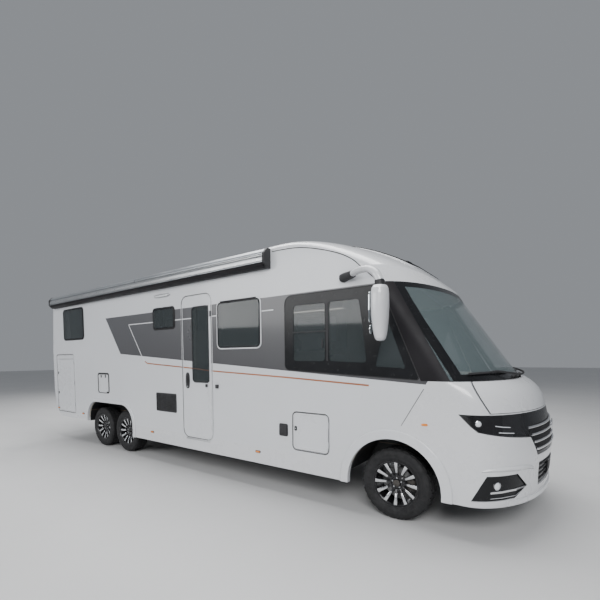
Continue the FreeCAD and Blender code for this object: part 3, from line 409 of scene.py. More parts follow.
# %% [markdown]
# Glass, lenses and trim inside follow. A pane lets light through by its alpha, and gets a higher index so
# that the
# part that stays still mirrors the studio. That way daylight reaches the seats, which refracting glass
# would stop.

# %% Glass, lenses and finishes inside
screen_glass = finish("windscreen glass", (0.16, 0.21, 0.22), rough=0.03, vary=0.05, patch=1.0,
                      relief=0.00002, Alpha=0.36, IOR=2.1)
side_glass = finish("acrylic panes", (0.045, 0.055, 0.058), rough=0.05, vary=0.1, patch=1.4, relief=0.00003,
                    wear=0.1, Specular_IOR_Level=0.22, Alpha=0.62, IOR=1.9)
smoked = finish("smoked acrylic", (0.018, 0.02, 0.022), rough=0.06, vary=0.1, patch=1.6, relief=0.00003,
                Alpha=0.8, IOR=1.8)
lamp_cover = finish("smoked lamp cover", (0.012, 0.012, 0.014), rough=0.05, vary=0.1, patch=3.0,
                    relief=0.00002, Alpha=0.55, IOR=1.8)
red_lens = finish("red lens", (0.42, 0.012, 0.012), rough=0.12, vary=0.1, patch=8.0, grain=90.0,
                  relief=0.0004, Coat_Weight=0.6, IOR=1.6)
amber_lens = finish("amber lens", (0.85, 0.26, 0.02), rough=0.14, vary=0.1, patch=8.0, grain=90.0,
                    relief=0.0004, Coat_Weight=0.6)
clear_lens = finish("clear lens", (0.72, 0.74, 0.76), rough=0.10, vary=0.06, patch=8.0, grain=110.0,
                    relief=0.0005, Coat_Weight=0.8)
lit_lens = finish("lit diode bar", (0.55, 0.57, 0.60), rough=0.2, vary=0.03, patch=9.0, relief=0.0001,
                  Emission_Color=(0.9, 0.95, 1.0, 1.0), Emission_Strength=0.25)
mirror_glass = finish("mirror glass", (0.72, 0.76, 0.78), rough=0.03, metal=1.0, vary=0.03, patch=4.0,
                      relief=0.00001)
tyre_rubber = finish("tyre rubber", (0.011, 0.011, 0.012), rough=0.74, vary=0.22, patch=7.0, grain=230.0,
                     relief=0.0006)
machined = finish("machined alloy", (0.70, 0.71, 0.72), rough=0.24, metal=1.0, vary=0.06, patch=9.0,
                  grain=500.0, relief=0.00006)
wheel_black = finish("black alloy", (0.016, 0.016, 0.018), rough=0.26, metal=0.4, vary=0.2, patch=8.0,
                     relief=0.00008, Coat_Weight=0.5)
lining = finish("wall lining", (0.52, 0.49, 0.43), rough=0.75, vary=0.05, patch=3.0, grain=520.0,
                relief=0.0004)
leather = finish("seat leather", (0.085, 0.072, 0.062), rough=0.46, vary=0.12, patch=5.0, grain=190.0,
                 relief=0.0011)
pale_leather = finish("pale leather", (0.40, 0.37, 0.32), rough=0.5, vary=0.07, patch=5.0, grain=190.0,
                      relief=0.001)
dash_vinyl = finish("dashboard vinyl", (0.032, 0.032, 0.034), rough=0.58, vary=0.1, patch=4.0, grain=300.0,
                    relief=0.0007)
worktop = finish("worktop laminate", (0.30, 0.29, 0.28), rough=0.3, vary=0.25, patch=40.0, grain=300.0,
                 relief=0.0001)
cabinet_white = finish("cabinet lacquer", (0.62, 0.61, 0.58), rough=0.22, vary=0.03, patch=2.0,
                       relief=0.00008)
steel = finish("brushed steel", (0.55, 0.55, 0.56), rough=0.28, metal=1.0, vary=0.08, patch=20.0,
               relief=0.0001)
screen_black = finish("screen black", (0.006, 0.007, 0.009), rough=0.08, vary=0.2, patch=6.0, relief=0.00002)
tank_plastic = finish("tank plastic", (0.05, 0.052, 0.056), rough=0.62, vary=0.14, patch=3.0, grain=90.0,
                      relief=0.001)
ceiling_glow = finish("ceiling diode strip", (0.9, 0.88, 0.8), rough=0.3, vary=0.02, patch=4.0, relief=0.0001,
                      Emission_Color=(1.0, 0.94, 0.84, 1.0), Emission_Strength=3.0)
print("finishes made:", len(bpy.data.materials))

# %% [markdown]
# ## Wood and cloth
# Wood needs rings stretched along the board, and cloth needs crossed threads. Both start from a plain
# finish, and
# swap the source of its colour or its bump.

# %% Wood and woven cloth
def wood(name, dark, light):
    """Open-grain veneer: wave bands bent by noise, long in one direction."""
    material = finish(name, light, rough=0.42, patch=3.0, relief=0.0002)
    tree = material.node_tree
    stretch = node_of(tree, "ShaderNodeMapping", Scale=(1.0, 6.0, 9.0))
    bands = node_of(tree, "ShaderNodeTexWave", Scale=3.2, Distortion=5.5, Detail=3.0, Detail_Scale=1.6)
    bands.bands_direction = "Z"
    tree.links.new(tree.nodes["place"].outputs["Object"], stretch.inputs["Vector"])
    tree.links.new(stretch.outputs["Vector"], bands.inputs["Vector"])
    tone = blended(tree, bands.outputs["Fac"], dark, light)
    tree.links.new(tone, tree.nodes["Principled BSDF"].inputs["Base Color"])
    return material


def cloth(name, colour, threads=900.0, relief=0.0005, **sockets):
    """Plain weave: two wave patterns crossed, one across the other."""
    material = finish(name, colour, rough=0.85, vary=0.08, patch=6.0, relief=relief, **sockets)
    tree = material.node_tree
    heights = []
    for direction in ("X", "Z"):
        wave = node_of(tree, "ShaderNodeTexWave", Scale=threads / 20, Distortion=0.6, Detail=1.0)
        wave.bands_direction = direction
        tree.links.new(tree.nodes["place"].outputs["Object"], wave.inputs["Vector"])
        heights.append(wave.outputs["Fac"])
    join = tree.nodes.new("ShaderNodeMath")
    join.operation = "MAXIMUM"
    for height, socket in zip(heights, join.inputs):
        tree.links.new(height, socket)
    bump = next(node for node in tree.nodes if node.type == "BUMP")
    tree.links.new(join.outputs["Value"], bump.inputs["Height"])
    return material


oak = wood("oak veneer", (0.20, 0.125, 0.065), (0.36, 0.245, 0.14))
floor_board = wood("floor vinyl", (0.12, 0.085, 0.055), (0.19, 0.14, 0.095))
curtain_cloth = cloth("curtain cloth", (0.42, 0.43, 0.42), Sheen_Weight=0.3)
mattress_cloth = cloth("mattress ticking", (0.62, 0.61, 0.57), threads=700.0)
pillow_cloth = cloth("pillow cotton", (0.66, 0.67, 0.68), threads=1500.0)

# %% [markdown]
# ## The painted sides
# A grey film band runs along the wall from the cab window to a slanted end by the bedroom. The film is
# drawn in the
# paint itself, by comparing each point's place with four straight edges, so the door carries it on
# unbroken. The
# same material gives the wall's inner face its lining, told apart by its distance from the middle.

# %% The band, drawn by its edges
BAND_TOP = 2.303
BAND_LOW = (-1.204, 1.444)       # a point on the lower edge
BAND_FALL = -0.066               # how the lower edge drops towards the front
BAND_TAIL = (-5.213, 0.72)       # where the slanted end meets the top, and its slope
BAND_FRONT = 0.40
LINING_Y = WALL_Y - 0.012


def maths(tree, operation, first, second=None):
    """A math node on outputs or numbers."""
    node = tree.nodes.new("ShaderNodeMath")
    node.operation = operation
    for value, socket in zip((first, second), node.inputs):
        if isinstance(value, bpy.types.NodeSocket):
            tree.links.new(value, socket)
        elif value is not None:
            socket.default_value = value
    return node.outputs["Value"]


def band_mask(tree, x, z):
    """1 inside the band's four edges."""
    edge = maths(tree, "MULTIPLY", maths(tree, "SUBTRACT", x, BAND_LOW[0]), BAND_FALL)
    above = maths(tree, "GREATER_THAN", maths(tree, "SUBTRACT", z, edge), BAND_LOW[1])
    below = maths(tree, "LESS_THAN", z, BAND_TOP)
    slant = maths(tree, "MULTIPLY", maths(tree, "SUBTRACT", BAND_TOP, z), BAND_TAIL[1])
    ahead = maths(tree, "GREATER_THAN", maths(tree, "SUBTRACT", x, slant), BAND_TAIL[0])
    behind = maths(tree, "LESS_THAN", x, BAND_FRONT)
    return maths(tree, "MULTIPLY", maths(tree, "MULTIPLY", above, below),
                 maths(tree, "MULTIPLY", ahead, behind))


def wall_paint(name, **changes):
    material = finish(name, WHITE, **{**paint, **changes})
    tree = material.node_tree
    shader = tree.nodes["Principled BSDF"]
    split = tree.nodes.new("ShaderNodeSeparateXYZ")
    tree.links.new(tree.nodes["place"].outputs["Object"], split.inputs["Vector"])
    x = maths(tree, "SUBTRACT", split.outputs["X"], AXLE_X)
    band = band_mask(tree, x, split.outputs["Z"])
    fade = ranged(tree, split.outputs["Z"], 0.0, 1.0, BAND_LOW[1], BAND_TOP)
    grey = blended(tree, fade, (0.060, 0.060, 0.065), (0.082, 0.083, 0.089))
    white = shader.inputs["Base Color"].links[0].from_socket
    outside = blended(tree, band, white, grey)
    inner = maths(tree, "LESS_THAN", maths(tree, "ABSOLUTE", split.outputs["Y"]), LINING_Y)
    tree.links.new(blended(tree, inner, outside, (0.52, 0.49, 0.43)), shader.inputs["Base Color"])
    return material


side_paint = wall_paint("side wall paint")
door_paint = wall_paint("door paint", rough=0.28)

# %% [markdown]
# ## Floor and wheel housings
# The floor panel, the wheel housings and the bulkhead are one node. Boards show only on the walking
# surface, so the
# finish is split by height: a thin layer at the top of the slab is board, and all else is black sealed
# plastic.

# %% The floor, split by height
HOUSING_BLACK = (0.013, 0.013, 0.014)
tree = floor_board.node_tree
split = tree.nodes.new("ShaderNodeSeparateXYZ")
coordinates = next(node for node in tree.nodes if node.type == "TEX_COORD")
tree.links.new(coordinates.outputs["Object"], split.inputs["Vector"])
slab_top = onto("floor", at(-3.0, 0.0, 2.0), (0, 0, -1))[0].z
above = maths(tree, "GREATER_THAN", split.outputs["Z"], slab_top - 0.003)
below = maths(tree, "LESS_THAN", split.outputs["Z"], slab_top + 0.003)
shader = tree.nodes["Principled BSDF"]
boards = shader.inputs["Base Color"].links[0].from_socket
walked = maths(tree, "MULTIPLY", above, below)
tree.links.new(blended(tree, walked, HOUSING_BLACK, boards), shader.inputs["Base Color"])
print("floor surface at", round(slab_top, 3))

# %% [markdown]
# ## Painting the CAD nodes
# Each node keeps its shape and takes a better finish through its material slots. Nodes that a modelled
# piece will
# replace further down aren't listed.

# %% Finishes for the CAD nodes
NODE_FINISH = {"side_wall_right": side_paint, "side_wall_left": side_paint, "rear_panel": white_paint,
               "side_skirts": moulded_white, "roof": white_paint, "roof_cap": moulded_white,
               "front_mask": moulded_white, "bonnet": moulded_white, "entrance_door": door_paint,
               "garage_door_right": door_paint, "garage_door_left": door_paint, "service_hatch": door_paint,
               "cassette_hatch": door_paint, "a_pillars": charcoal, "windscreen": screen_glass,
               "side_windows": side_glass, "entrance_door_window": side_glass, "roof_windows": smoked,
               "grille": acrylic_black, "lights": lamp_cover, "axles": axle_steel,
               "right_knuckle": cast_iron, "left_knuckle": cast_iron, "chassis_frame": galvanised,
               "engine": cast_iron, "water_tanks": tank_plastic, "dashboard": dash_vinyl,
               "floor": floor_board,}
for node_name, material in NODE_FINISH.items():
    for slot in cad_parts[node_name].material_slots:
        slot.material = material
print("painted", len(NODE_FINISH), "nodes")

# %% [markdown]
# ## The studio
# The camera stands ahead of the right front corner, a little under eye level, with a wide lens, as the
# vehicle is
# seen: its near corner looms and the tail runs away. A pale floor and big soft lights show the paint's gloss.

# %% Camera, floor and lights
EYE = at(1.308, -4.518, 1.590)
YAW, PITCH, ROLL = (math.radians(angle) for angle in (35.46, -3.07, -0.38))
LENS = 22.25
SHIFT = (0.0022, 0.130)

ahead = Vector((-math.sin(YAW) * math.cos(PITCH), math.cos(YAW) * math.cos(PITCH), math.sin(PITCH)))
level = Vector((math.cos(YAW), math.sin(YAW), 0.0))
upright = level.cross(ahead)
right_axis = level * math.cos(ROLL) + upright * math.sin(ROLL)
up_axis = upright * math.cos(ROLL) - level * math.sin(ROLL)
camera = bpy.data.objects.new("camera", bpy.data.cameras.new("camera"))
camera.data.lens = LENS
camera.data.shift_x, camera.data.shift_y = SHIFT
camera.data.clip_start = 0.05
camera.matrix_world = Matrix.Translation(EYE) @ Matrix((right_axis, up_axis, -ahead)).transposed().to_4x4()
bpy.context.scene.collection.objects.link(camera)
bpy.context.scene.camera = camera

FLOOR_REACH = 60.0
floor_mesh = bmesh.new()
bmesh.ops.create_grid(floor_mesh, x_segments=1, y_segments=1, size=FLOOR_REACH)
ground = bpy.data.meshes.new("studio_floor")
floor_mesh.to_mesh(ground)
floor_mesh.free()
studio_floor = bpy.data.objects.new("studio_floor", ground)
studio_floor.location.z = -0.001
ground.materials.append(finish("studio floor", (0.60, 0.60, 0.60), rough=0.7, vary=0.02, patch=0.4,
                               relief=0.0002))
bpy.context.scene.collection.objects.link(studio_floor)
studio_floor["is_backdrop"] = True


def soft_light(name, place, target, size, power):
    """A rectangular softbox that faces a point."""
    lamp = bpy.data.lights.new(name, "AREA")
    lamp.shape = "RECTANGLE"
    lamp.size, lamp.size_y = size
    lamp.energy = power
    box = bpy.data.objects.new(name, lamp)
    box.location = place
    box.rotation_euler = (Vector(target) - Vector(place)).to_track_quat("-Z", "Y").to_euler()
    bpy.context.scene.collection.objects.link(box)


soft_light("key", (7.5, -9.0, 7.0), (1.5, 0.0, 1.2), (6.0, 4.0), 860.0)
soft_light("side", (-5.0, -11.0, 4.5), (-2.0, 0.0, 1.2), (9.0, 3.0), 430.0)
soft_light("top", (0.0, 0.0, 9.0), (0.0, 0.0, 0.0), (10.0, 5.0), 980.0)
soft_light("back", (-9.0, 9.0, 6.0), (0.0, 0.0, 1.5), (6.0, 4.0), 900.0)
world = bpy.data.worlds.new("studio")
world.use_nodes = True
world.node_tree.nodes["Background"].inputs["Color"].default_value = (0.80, 0.84, 0.90, 1.0)
world.node_tree.nodes["Background"].inputs["Strength"].default_value = 0.34
bpy.context.scene.world = world

# %% [markdown]
# ## Wheels
# A tyre is spun from its section, with a bulged sidewall and four rain grooves. The tread between the
# grooves is
# cut into blocks: every few steps round the tyre is left low, and the rest is pushed out to the full radius.

# %% A tyre
TYRE_HALF = (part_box("front_right_tyre")[1].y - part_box("front_right_tyre")[0].y) / 2
RIM_R = (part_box("front_right_rim")[1].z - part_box("front_right_rim")[0].z) / 2
TREAD_DEPTH = 0.007
TREAD_STEPS = 112


def tyre():
    """A road tyre about the Y axis, outward along +Y."""
    low = TYRE_R - TREAD_DEPTH
    crown = []
    for y, ease in ((-0.088, 0.0022), (-0.060, 0.0007), (-0.054, 0.0), (-0.048, 0.0), (-0.016, 0.0),
                    (-0.010, 0.0)):
        crown.append((y, low - ease))
    crown += [(-y, radius) for y, radius in reversed(crown)]
    side = [(0.088, low - 0.0022), (0.098, low - 0.009), (0.1055, low - 0.020), (0.1085, low - 0.034),
            (0.1120, TYRE_R - 0.058), (0.1125, TYRE_R - 0.066), (0.1108, TYRE_R - 0.070),
            (0.1112, TYRE_R - 0.084), (0.1090, RIM_R + 0.022), (0.1062, RIM_R + 0.018),
            (0.1040, RIM_R + 0.008), (0.0975, RIM_R + 0.001), (0.0925, RIM_R - 0.004),
            (0.0915, RIM_R - 0.017)]
    profile = crown + side[1:] + [(-y, radius) for y, radius in reversed(side)][:-1]
    bm = turned(profile, TREAD_STEPS)
    blocks = []
    for face in bm.faces:
        centre = face.calc_center_median()
        radius = math.hypot(centre.x, centre.z)
        step = round(math.atan2(centre.z, centre.x) / (2 * math.pi) * TREAD_STEPS * 2 - 1) // 2 % 4
        groove = 0.048 < abs(centre.y) < 0.060 or abs(centre.y) < 0.010 or 0.010 < abs(centre.y) < 0.016
        shoulder = abs(centre.y) > 0.060
        cut = step == 3 if shoulder else step == 1 and abs(centre.y) > 0.02
        if radius > low - 0.006 and abs(centre.y) < 0.089 and not groove and not cut:
            blocks.append(face)
    made = bmesh.ops.extrude_face_region(bm, geom=blocks)["geom"]
    raised = points_of(made)
    grow = TYRE_R / low
    bmesh.ops.scale(bm, vec=(grow, 1.0, grow), verts=raised)
    return bm


# %% [markdown]
# The alloy wheel has twelve slim spokes. Their faces are machined bright and the rest is gloss black, so at a
# distance only the twelve bright fingers show. One spoke is shaped from a block, then copied round by a spin.

# %% An alloy wheel
SPOKES = 12
HUB_Y = 0.050            # outer face of the hub, outward of the wheel's centre plane
FINGER = (0.104, 0.211)  # where a machined face begins and ends
FINGER_WIDTH = (0.019, 0.034)


def copies(bm, count):
    """Repeats what is in the mesh round the Y axis."""
    bmesh.ops.spin(bm, geom=bm.verts[:] + bm.edges[:] + bm.faces[:], cent=(0, 0, 0), axis=(0, 1, 0),
                   dvec=(0, 0, 0), angle=2 * math.pi * (count - 1) / count, steps=count - 1,
                   use_duplicate=True)
    return bm


def spoke(r0, r1, wide0, wide1, y0, y1, deep, bevel):
    """A tapered bar along +Z that leans outward as it nears the rim."""
    bm = bmesh.new()
    bmesh.ops.create_cube(bm, size=1.0)
    for v in bm.verts:
        outer = v.co.z > 0
        v.co.x *= wide1 if outer else wide0
        v.co.y = (y1 if outer else y0) + (0.0 if v.co.y > 0 else -deep)
        v.co.z = r1 if outer else r0
    return soften(bm, bevel, 2)


def wheel_disc():
    """Barrel, bowl, spokes and hub; finishes are black, machined and satin."""
    bm = bmesh.new()
    lip = TYRE_HALF - 0.0125
    barrel = [(-lip, RIM_R - 0.001), (-lip + 0.007, RIM_R), (-lip + 0.009, RIM_R - 0.018),
              (lip - 0.009, RIM_R - 0.018), (lip - 0.007, RIM_R), (lip, RIM_R - 0.001),
              (lip - 0.001, RIM_R - 0.008), (lip - 0.010, RIM_R - 0.013), (lip - 0.016, RIM_R - 0.024),
              (0.02, RIM_R - 0.030), (-lip + 0.01, RIM_R - 0.027)]
    add(bm, turned(barrel, 72))
    hub = [(0.026, 0.0), (0.026, 0.078), (HUB_Y - 0.004, 0.080), (HUB_Y, 0.074), (HUB_Y - 0.001, 0.062),
           (HUB_Y - 0.010, 0.056), (HUB_Y - 0.010, 0.040), (HUB_Y, 0.034), (HUB_Y, 0.0)]
    add(bm, turned(hub, 48, closed=False))
    add(bm, copies(spoke(0.060, RIM_R - 0.020, 0.024, 0.040, HUB_Y, 0.086, 0.024, 0.004), SPOKES))
    lean = (0.086 - HUB_Y) / (RIM_R - 0.080)
    y_in, y_out = (HUB_Y + (radius - 0.060) * lean for radius in FINGER)
    add(bm, copies(spoke(*FINGER, *FINGER_WIDTH, y_in + 0.0022, y_out + 0.0022, 0.004, 0.0012), SPOKES),
        finish=1)
    cap = [(HUB_Y - 0.004, 0.0), (HUB_Y - 0.004, 0.031), (HUB_Y + 0.004, 0.030), (HUB_Y + 0.007, 0.024),
           (HUB_Y + 0.006, 0.012), (HUB_Y + 0.006, 0.0)]
    add(bm, turned(cap, 32, closed=False), finish=0)
    badge = [(HUB_Y + 0.005, 0.0), (HUB_Y + 0.005, 0.012), (HUB_Y + 0.0078, 0.0105), (HUB_Y + 0.0082, 0.0)]
    add(bm, turned(badge, 24, closed=False), finish=1)
    nut = bmesh.new()
    bmesh.ops.create_cone(nut, cap_ends=True, segments=6, radius1=0.0095, radius2=0.0082, depth=0.018,
                          matrix=Matrix.Translation((0, HUB_Y - 0.006,
                                                     0.048)) @ Matrix.Rotation(-math.pi / 2, 4, "X"))
    add(bm, copies(soften(nut, 0.001), 5), finish=2)
    valve = bmesh.new()
    bmesh.ops.create_cone(valve, cap_ends=True, segments=10, radius1=0.0042, radius2=0.0034, depth=0.030,
                          matrix=Matrix.Translation((0.05, 0.082, 0.185)) @ Matrix.Rotation(-1.2, 4, "X"))
    return add(bm, valve, finish=2)


def brake_disc():
    """A vented disc on its bell, inside the wheel."""
    bm = bmesh.new()
    for y0, y1 in ((-0.010, -0.003), (0.003, 0.010)):
        add(bm, turned([(y0, 0.088), (y0, 0.150), (y1, 0.150), (y1, 0.088)], 64))
    vane = block((-0.002, -0.004, 0.092), (0.002, 0.004, 0.148))
    add(bm, copies(vane, 36))
    return add(bm, turned([(0.010, 0.080), (0.010, 0.094), (0.024, 0.086), (0.024, 0.080)], 48), finish=0)


def caliper():
    """A cast clamp over the disc's rear edge, clear of it on both faces."""
    bm = bmesh.new()
    add(bm, block((-0.165, 0.015, -0.055), (-0.100, 0.034, 0.055), 0.006))
    add(bm, block((-0.165, -0.046, -0.050), (-0.100, -0.015, 0.050), 0.008))
    return add(bm, block((-0.182, -0.046, -0.050), (-0.158, 0.034, 0.050), 0.007))


for place in ("front", "middle", "rear"):
    for word, side in SIDES.items():
        low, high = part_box(f"{place}_{word}_tyre")
        hub = Matrix.Translation((low + high) / 2) @ Matrix.Rotation(0.0 if side > 0 else math.pi, 4, "Z")
        wheel = f"{place}_{word}_wheel"
        carrier = f"{word}_knuckle" if place == "front" else "body"
        parts = ((f"{wheel}_tyre", tyre(), tyre_rubber, wheel, "tyre"),
                 (f"{wheel}_alloy", wheel_disc(), [wheel_black, machined, satin_metal], wheel, "alloy"),
                 (f"{wheel}_brake_disc", brake_disc(), brake_iron, wheel, None),
                 (f"{wheel}_caliper", caliper(), cast_iron, carrier, None))
        for name, shape, finishes, body, slot in parts:
            bmesh.ops.transform(shape, matrix=hub, verts=shape.verts)
            made = piece(name, shape, finishes, body)
            if slot == "tyre":
                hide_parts(f"{place}_{word}_tyre")
            elif slot == "alloy":
                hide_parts(f"{place}_{word}_rim")

# %% [markdown]
# ## Hanging mirrors
# Coach-style mirrors hang from arms that spring from the roof cap. The head is a section that changes as
# it goes
# down: wide at its shoulder, slim at its foot. Building it level by level gives that with one sweep.

# %% Mirrors
def oval(points=28, power=2.6):
    """A rounded rectangle of unit size, as a superellipse."""
    line = []
    for k in range(points):
        angle = 2 * math.pi * k / points
        c, s = math.cos(angle), math.sin(angle)
        line.append((0.5 * math.copysign(abs(c) ** (2 / power), c),
                     0.5 * math.copysign(abs(s) ** (2 / power), s)))
    return line


def curve_through(points, steps=6):
    """A smooth line through a few points."""
    points = [Vector(point) for point in points]
    line = []
    for k in range(len(points) - 1):
        before, start, end = points[max(k - 1, 0)], points[k], points[k + 1]
        after = points[min(k + 2, len(points) - 1)]
        for i in range(steps):
            t = i / steps
            line.append(0.5 * (2 * start + (end - before) * t + (2 * before - 5 * start + 4 * end - after)
                               * t * t + (3 * start - before - 3 * end + after) * t ** 3))
    return line + [points[-1]]


MIRROR_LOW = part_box("mirrors")[0]
HEAD_Y = MIRROR_LOW.y + 0.1075
HEAD = ((2.232, 0.06, 0.06), (2.226, 0.11, 0.135), (2.200, 0.132, 0.180), (2.150, 0.140, 0.205),
        (2.060, 0.140, 0.213), (1.960, 0.132, 0.205), (1.870, 0.118, 0.182), (1.800, 0.102, 0.150),
        (1.760, 0.086, 0.115), (1.742, 0.060, 0.070), (1.738, 0.02, 0.03))
HEAD_X = -0.025


def mirror_head():
    path = [at(HEAD_X + 0.06 * (2.15 - z) ** 2, HEAD_Y - 0.05 * (2.15 - z) ** 2, z) for z, _, _ in HEAD]
    return swept(path, oval(), (1, 0, 0), scales=[(deep, wide) for _, deep, wide in HEAD])


def mirror_arm():
    path = curve_through([at(-0.385, -WALL_Y - 0.070, 2.404), at(-0.310, -WALL_Y - 0.120, 2.412),
                          at(-0.160, -WALL_Y - 0.205, 2.398), at(-0.070, HEAD_Y, 2.345),
                          at(-0.028, HEAD_Y, 2.268)])
    count = len(path)
    grow = [(0.056 + 0.020 * k / count, 0.060 + 0.040 * k / count) for k in range(count)]
    return swept(path, oval(20), (0, 0, 1), scales=grow)


def mirror_foot():
    path = curve_through([at(-0.520, -WALL_Y - 0.002, 2.392), at(-0.480, -WALL_Y - 0.030, 2.396),
                          at(-0.430, -WALL_Y - 0.050, 2.400), at(-0.392, -WALL_Y - 0.064, 2.404)])
    count = len(path)
    grow = [(0.088 - 0.020 * k / count, 0.096 - 0.022 * k / count) for k in range(count)]
    return swept(path, oval(20), (0, 0, 1), scales=grow)


def mirror_collar(start, end, size):
    return swept([start, end], oval(20), (1, 0, 0), scales=[size, size])


def mirror_face():
    """The two glasses, main and wide-angle, in the head's rear face."""
    bm = bmesh.new()
    for z0, z1, wide in ((1.900, 2.175, 0.160), (1.800, 1.885, 0.120)):
        outline = rounded([(-wide / 2, z0), (wide / 2, z0), (wide / 2, z1), (-wide / 2, z1)], 0.03)
        glass = bmesh.new()
        face = glass.faces.new([glass.verts.new(at(HEAD_X - 0.068, HEAD_Y + y, z)) for y, z in outline])
        made = bmesh.ops.extrude_face_region(glass, geom=[face])["geom"]
        bmesh.ops.translate(glass, vec=(-0.006, 0, 0), verts=points_of(made))
        bmesh.ops.recalc_face_normals(glass, faces=glass.faces)
        add(bm, glass)
    return bm


mirrors = bmesh.new()
add_both(mirrors, mirror_head)
add_both(mirrors, mirror_arm)
add_both(mirrors, mirror_foot, finish=1)
add_both(mirrors, lambda: mirror_collar(at(-0.028, HEAD_Y, 2.272), at(-0.026, HEAD_Y, 2.224),
                                        (0.082, 0.106)), finish=1)
add_both(mirrors, lambda: mirror_collar(at(-0.372, -WALL_Y - 0.076, 2.404),
                                        at(-0.394, -WALL_Y - 0.063, 2.404), (0.066, 0.070)), finish=1)
add_both(mirrors, mirror_face, finish=2)
mirror_piece = piece("hanging_mirrors", mirrors, [moulded_white, textured_black, mirror_glass])
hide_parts("mirrors")

# %% [markdown]
# ## Windows in the side walls
# Each pane is tinted acrylic hung in a slim frame that stands a few millimetres off the wall. A frame is
# the pane's
# rounded outline grown outwards, with the pane's own outline as a hole, eased along its edge.

# %% Window frames
WINDOW_BOXES = (  # name, sides, x from, x to, z from, z to, corner
    ("kitchen_window", ("right",), -2.375, -1.637, 1.725, 2.313, 0.060),
    ("washroom_window", ("right",), -3.790, -3.285, 2.040, 2.340, 0.040),
    ("dinette_window", ("left",), -2.900, -1.700, 1.725, 2.313, 0.060),
    ("bedroom_window", ("right", "left"), -6.830, -6.020, 1.980, 2.560, 0.060))


def skin(outline, side, out, inner=0.001, holes=(), bevel=0.0, segments=1):
    """A flat part on a side wall, from just inside the skin to a little proud of it."""
    y0, y1 = sorted((side * (WALL_Y - inner), side * (WALL_Y + out)))
    return plate(outline, y0, y1, holes, bevel, segments)


for name, sides, x0, x1, z0, z1, corner in WINDOW_BOXES:
    for word in sides:
        side = SIDES[word]
        pane = rectangle(x0, x1, z0, z1, corner)
        bm = skin(rectangle(x0, x1, z0, z1, corner, 0.016), side, 0.009, 0.002, [pane], 0.003, 2)
        add(bm, skin(rectangle(x0, x1, z0, z1, corner, -0.001), side, 0.013, -0.003,
                     [rectangle(x0, x1, z0, z1, corner, -0.020)], 0.003, 2), finish=1)
        add(bm, block(at(x0 + 0.06, side * (WALL_Y + 0.008) - 0.006, z1 - 0.006),
                      at(x1 - 0.06, side * (WALL_Y + 0.008) + 0.006, z1 + 0.014), 0.004), finish=1)
        for x in (x0 + 0.11, x1 - 0.11):
            add(bm, block(at(x - 0.018, side * 1.112 - 0.01, z0 + 0.012),
                          at(x + 0.018, side * 1.112 + 0.01, z0 + 0.044), 0.004), finish=2)
        finishes = [moulded_white if name == "kitchen_window" else rubber, acrylic_black, satin_metal]
        piece(f"{name}_{word}_frame", bm, finishes)

# %% [markdown]
# ## The cab side window
# One black-edged glass covers the cab side. Behind it are a sliding pane, a fixed pane and a small front
# quarter.
# The black printed edge is a thin plate with the three clear shapes as holes.

# %% Cab side windows
CAB_EDGE = rounded([(-1.272, 1.458), (0.258, 1.383), (-0.124, 2.287), (-1.272, 2.287)],
                   [0.06, 0.02, 0.02, 0.09])
CAB_PANES = (rounded([(-1.150, 1.556), (-0.742, 1.556), (-0.742, 2.170), (-1.150, 2.170)], 0.035),
             rounded([(-0.690, 1.556), (-0.262, 1.540), (-0.304, 1.866), (-0.352, 2.172), (-0.690, 2.175)],
                     [0.03, 0.03, 0, 0.03, 0.03]), rounded([(-0.171, 1.505), (0.128, 1.488),
                                                            (-0.066, 1.986)], 0.012))


def cab_window(side):
    bm = skin(CAB_EDGE, side, 0.0015, 0.0005, CAB_PANES)
    add(bm, skin(rounded([(-1.160, 1.866), (-0.732, 1.866), (-0.732, 1.880), (-1.160, 1.880)], 0.002), side,
                 0.004, 0.0), finish=1)
    add(bm, skin(rectangle(-0.722, -0.706, 1.560, 2.170, 0.003), side, 0.003, 0.0), finish=1)
    seal = [at(x, side * (WALL_Y + 0.001), z) for x, z in CAB_EDGE]
    add(bm, swept(seal, ring_of(0.004, 8), (0, side, 0), closed=True), finish=2)
    return add(bm, block(at(-0.780, side * (WALL_Y + 0.001) - 0.007, 1.70),
                         at(-0.764, side * (WALL_Y + 0.001) + 0.007, 1.79), 0.003), finish=1)


for word, side in SIDES.items():
    piece(f"cab_window_{word}_edge", cab_window(side), [acrylic_black, textured_black, rubber])

# %% [markdown]
# ## Film and pinstripes
# The grey band is in the wall's paint. Its bright outlines are self-adhesive films a fraction of a
# millimetre thick,
# modelled a little thicker so that they catch light along their edges. Lines that cross the door ride on
# the door.

# %% Pinstripes and the copper line
DOOR_X = (-3.108, -2.507)  # the door's edges, where lines are interrupted
STRIPE_Z = 2.150


def stripe(points, side, wide, thick=0.0012):
    """A thin film along a line in side view."""
    path = [at(x, side * WALL_Y, z) for x, z in points]
    return swept(path, bar_of(thick, wide, 0.0, -0.0005), (0, side, 0))


def clipped(points, x0, x1):
    """The part of a line between two distances, with its ends cut there."""
    line = []
    for (ax, az), (bx, bz) in zip(points, points[1:]):
        for k in range(5):
            x = ax + (bx - ax) * k / 4
            if x0 <= x <= x1:
                line.append((x, az + (bz - az) * k / 4))
    for edge in (x0, x1):
        for (ax, az), (bx, bz) in zip(points, points[1:]):
            if min(ax, bx) < edge < max(ax, bx):
                line.append((edge, az + (bz - az) * (edge - ax) / (bx - ax)))
    unique = sorted(set(line))
    return [point for k, point in enumerate(unique) if k == 0 or point[0] - unique[k - 1][0] > 0.004]


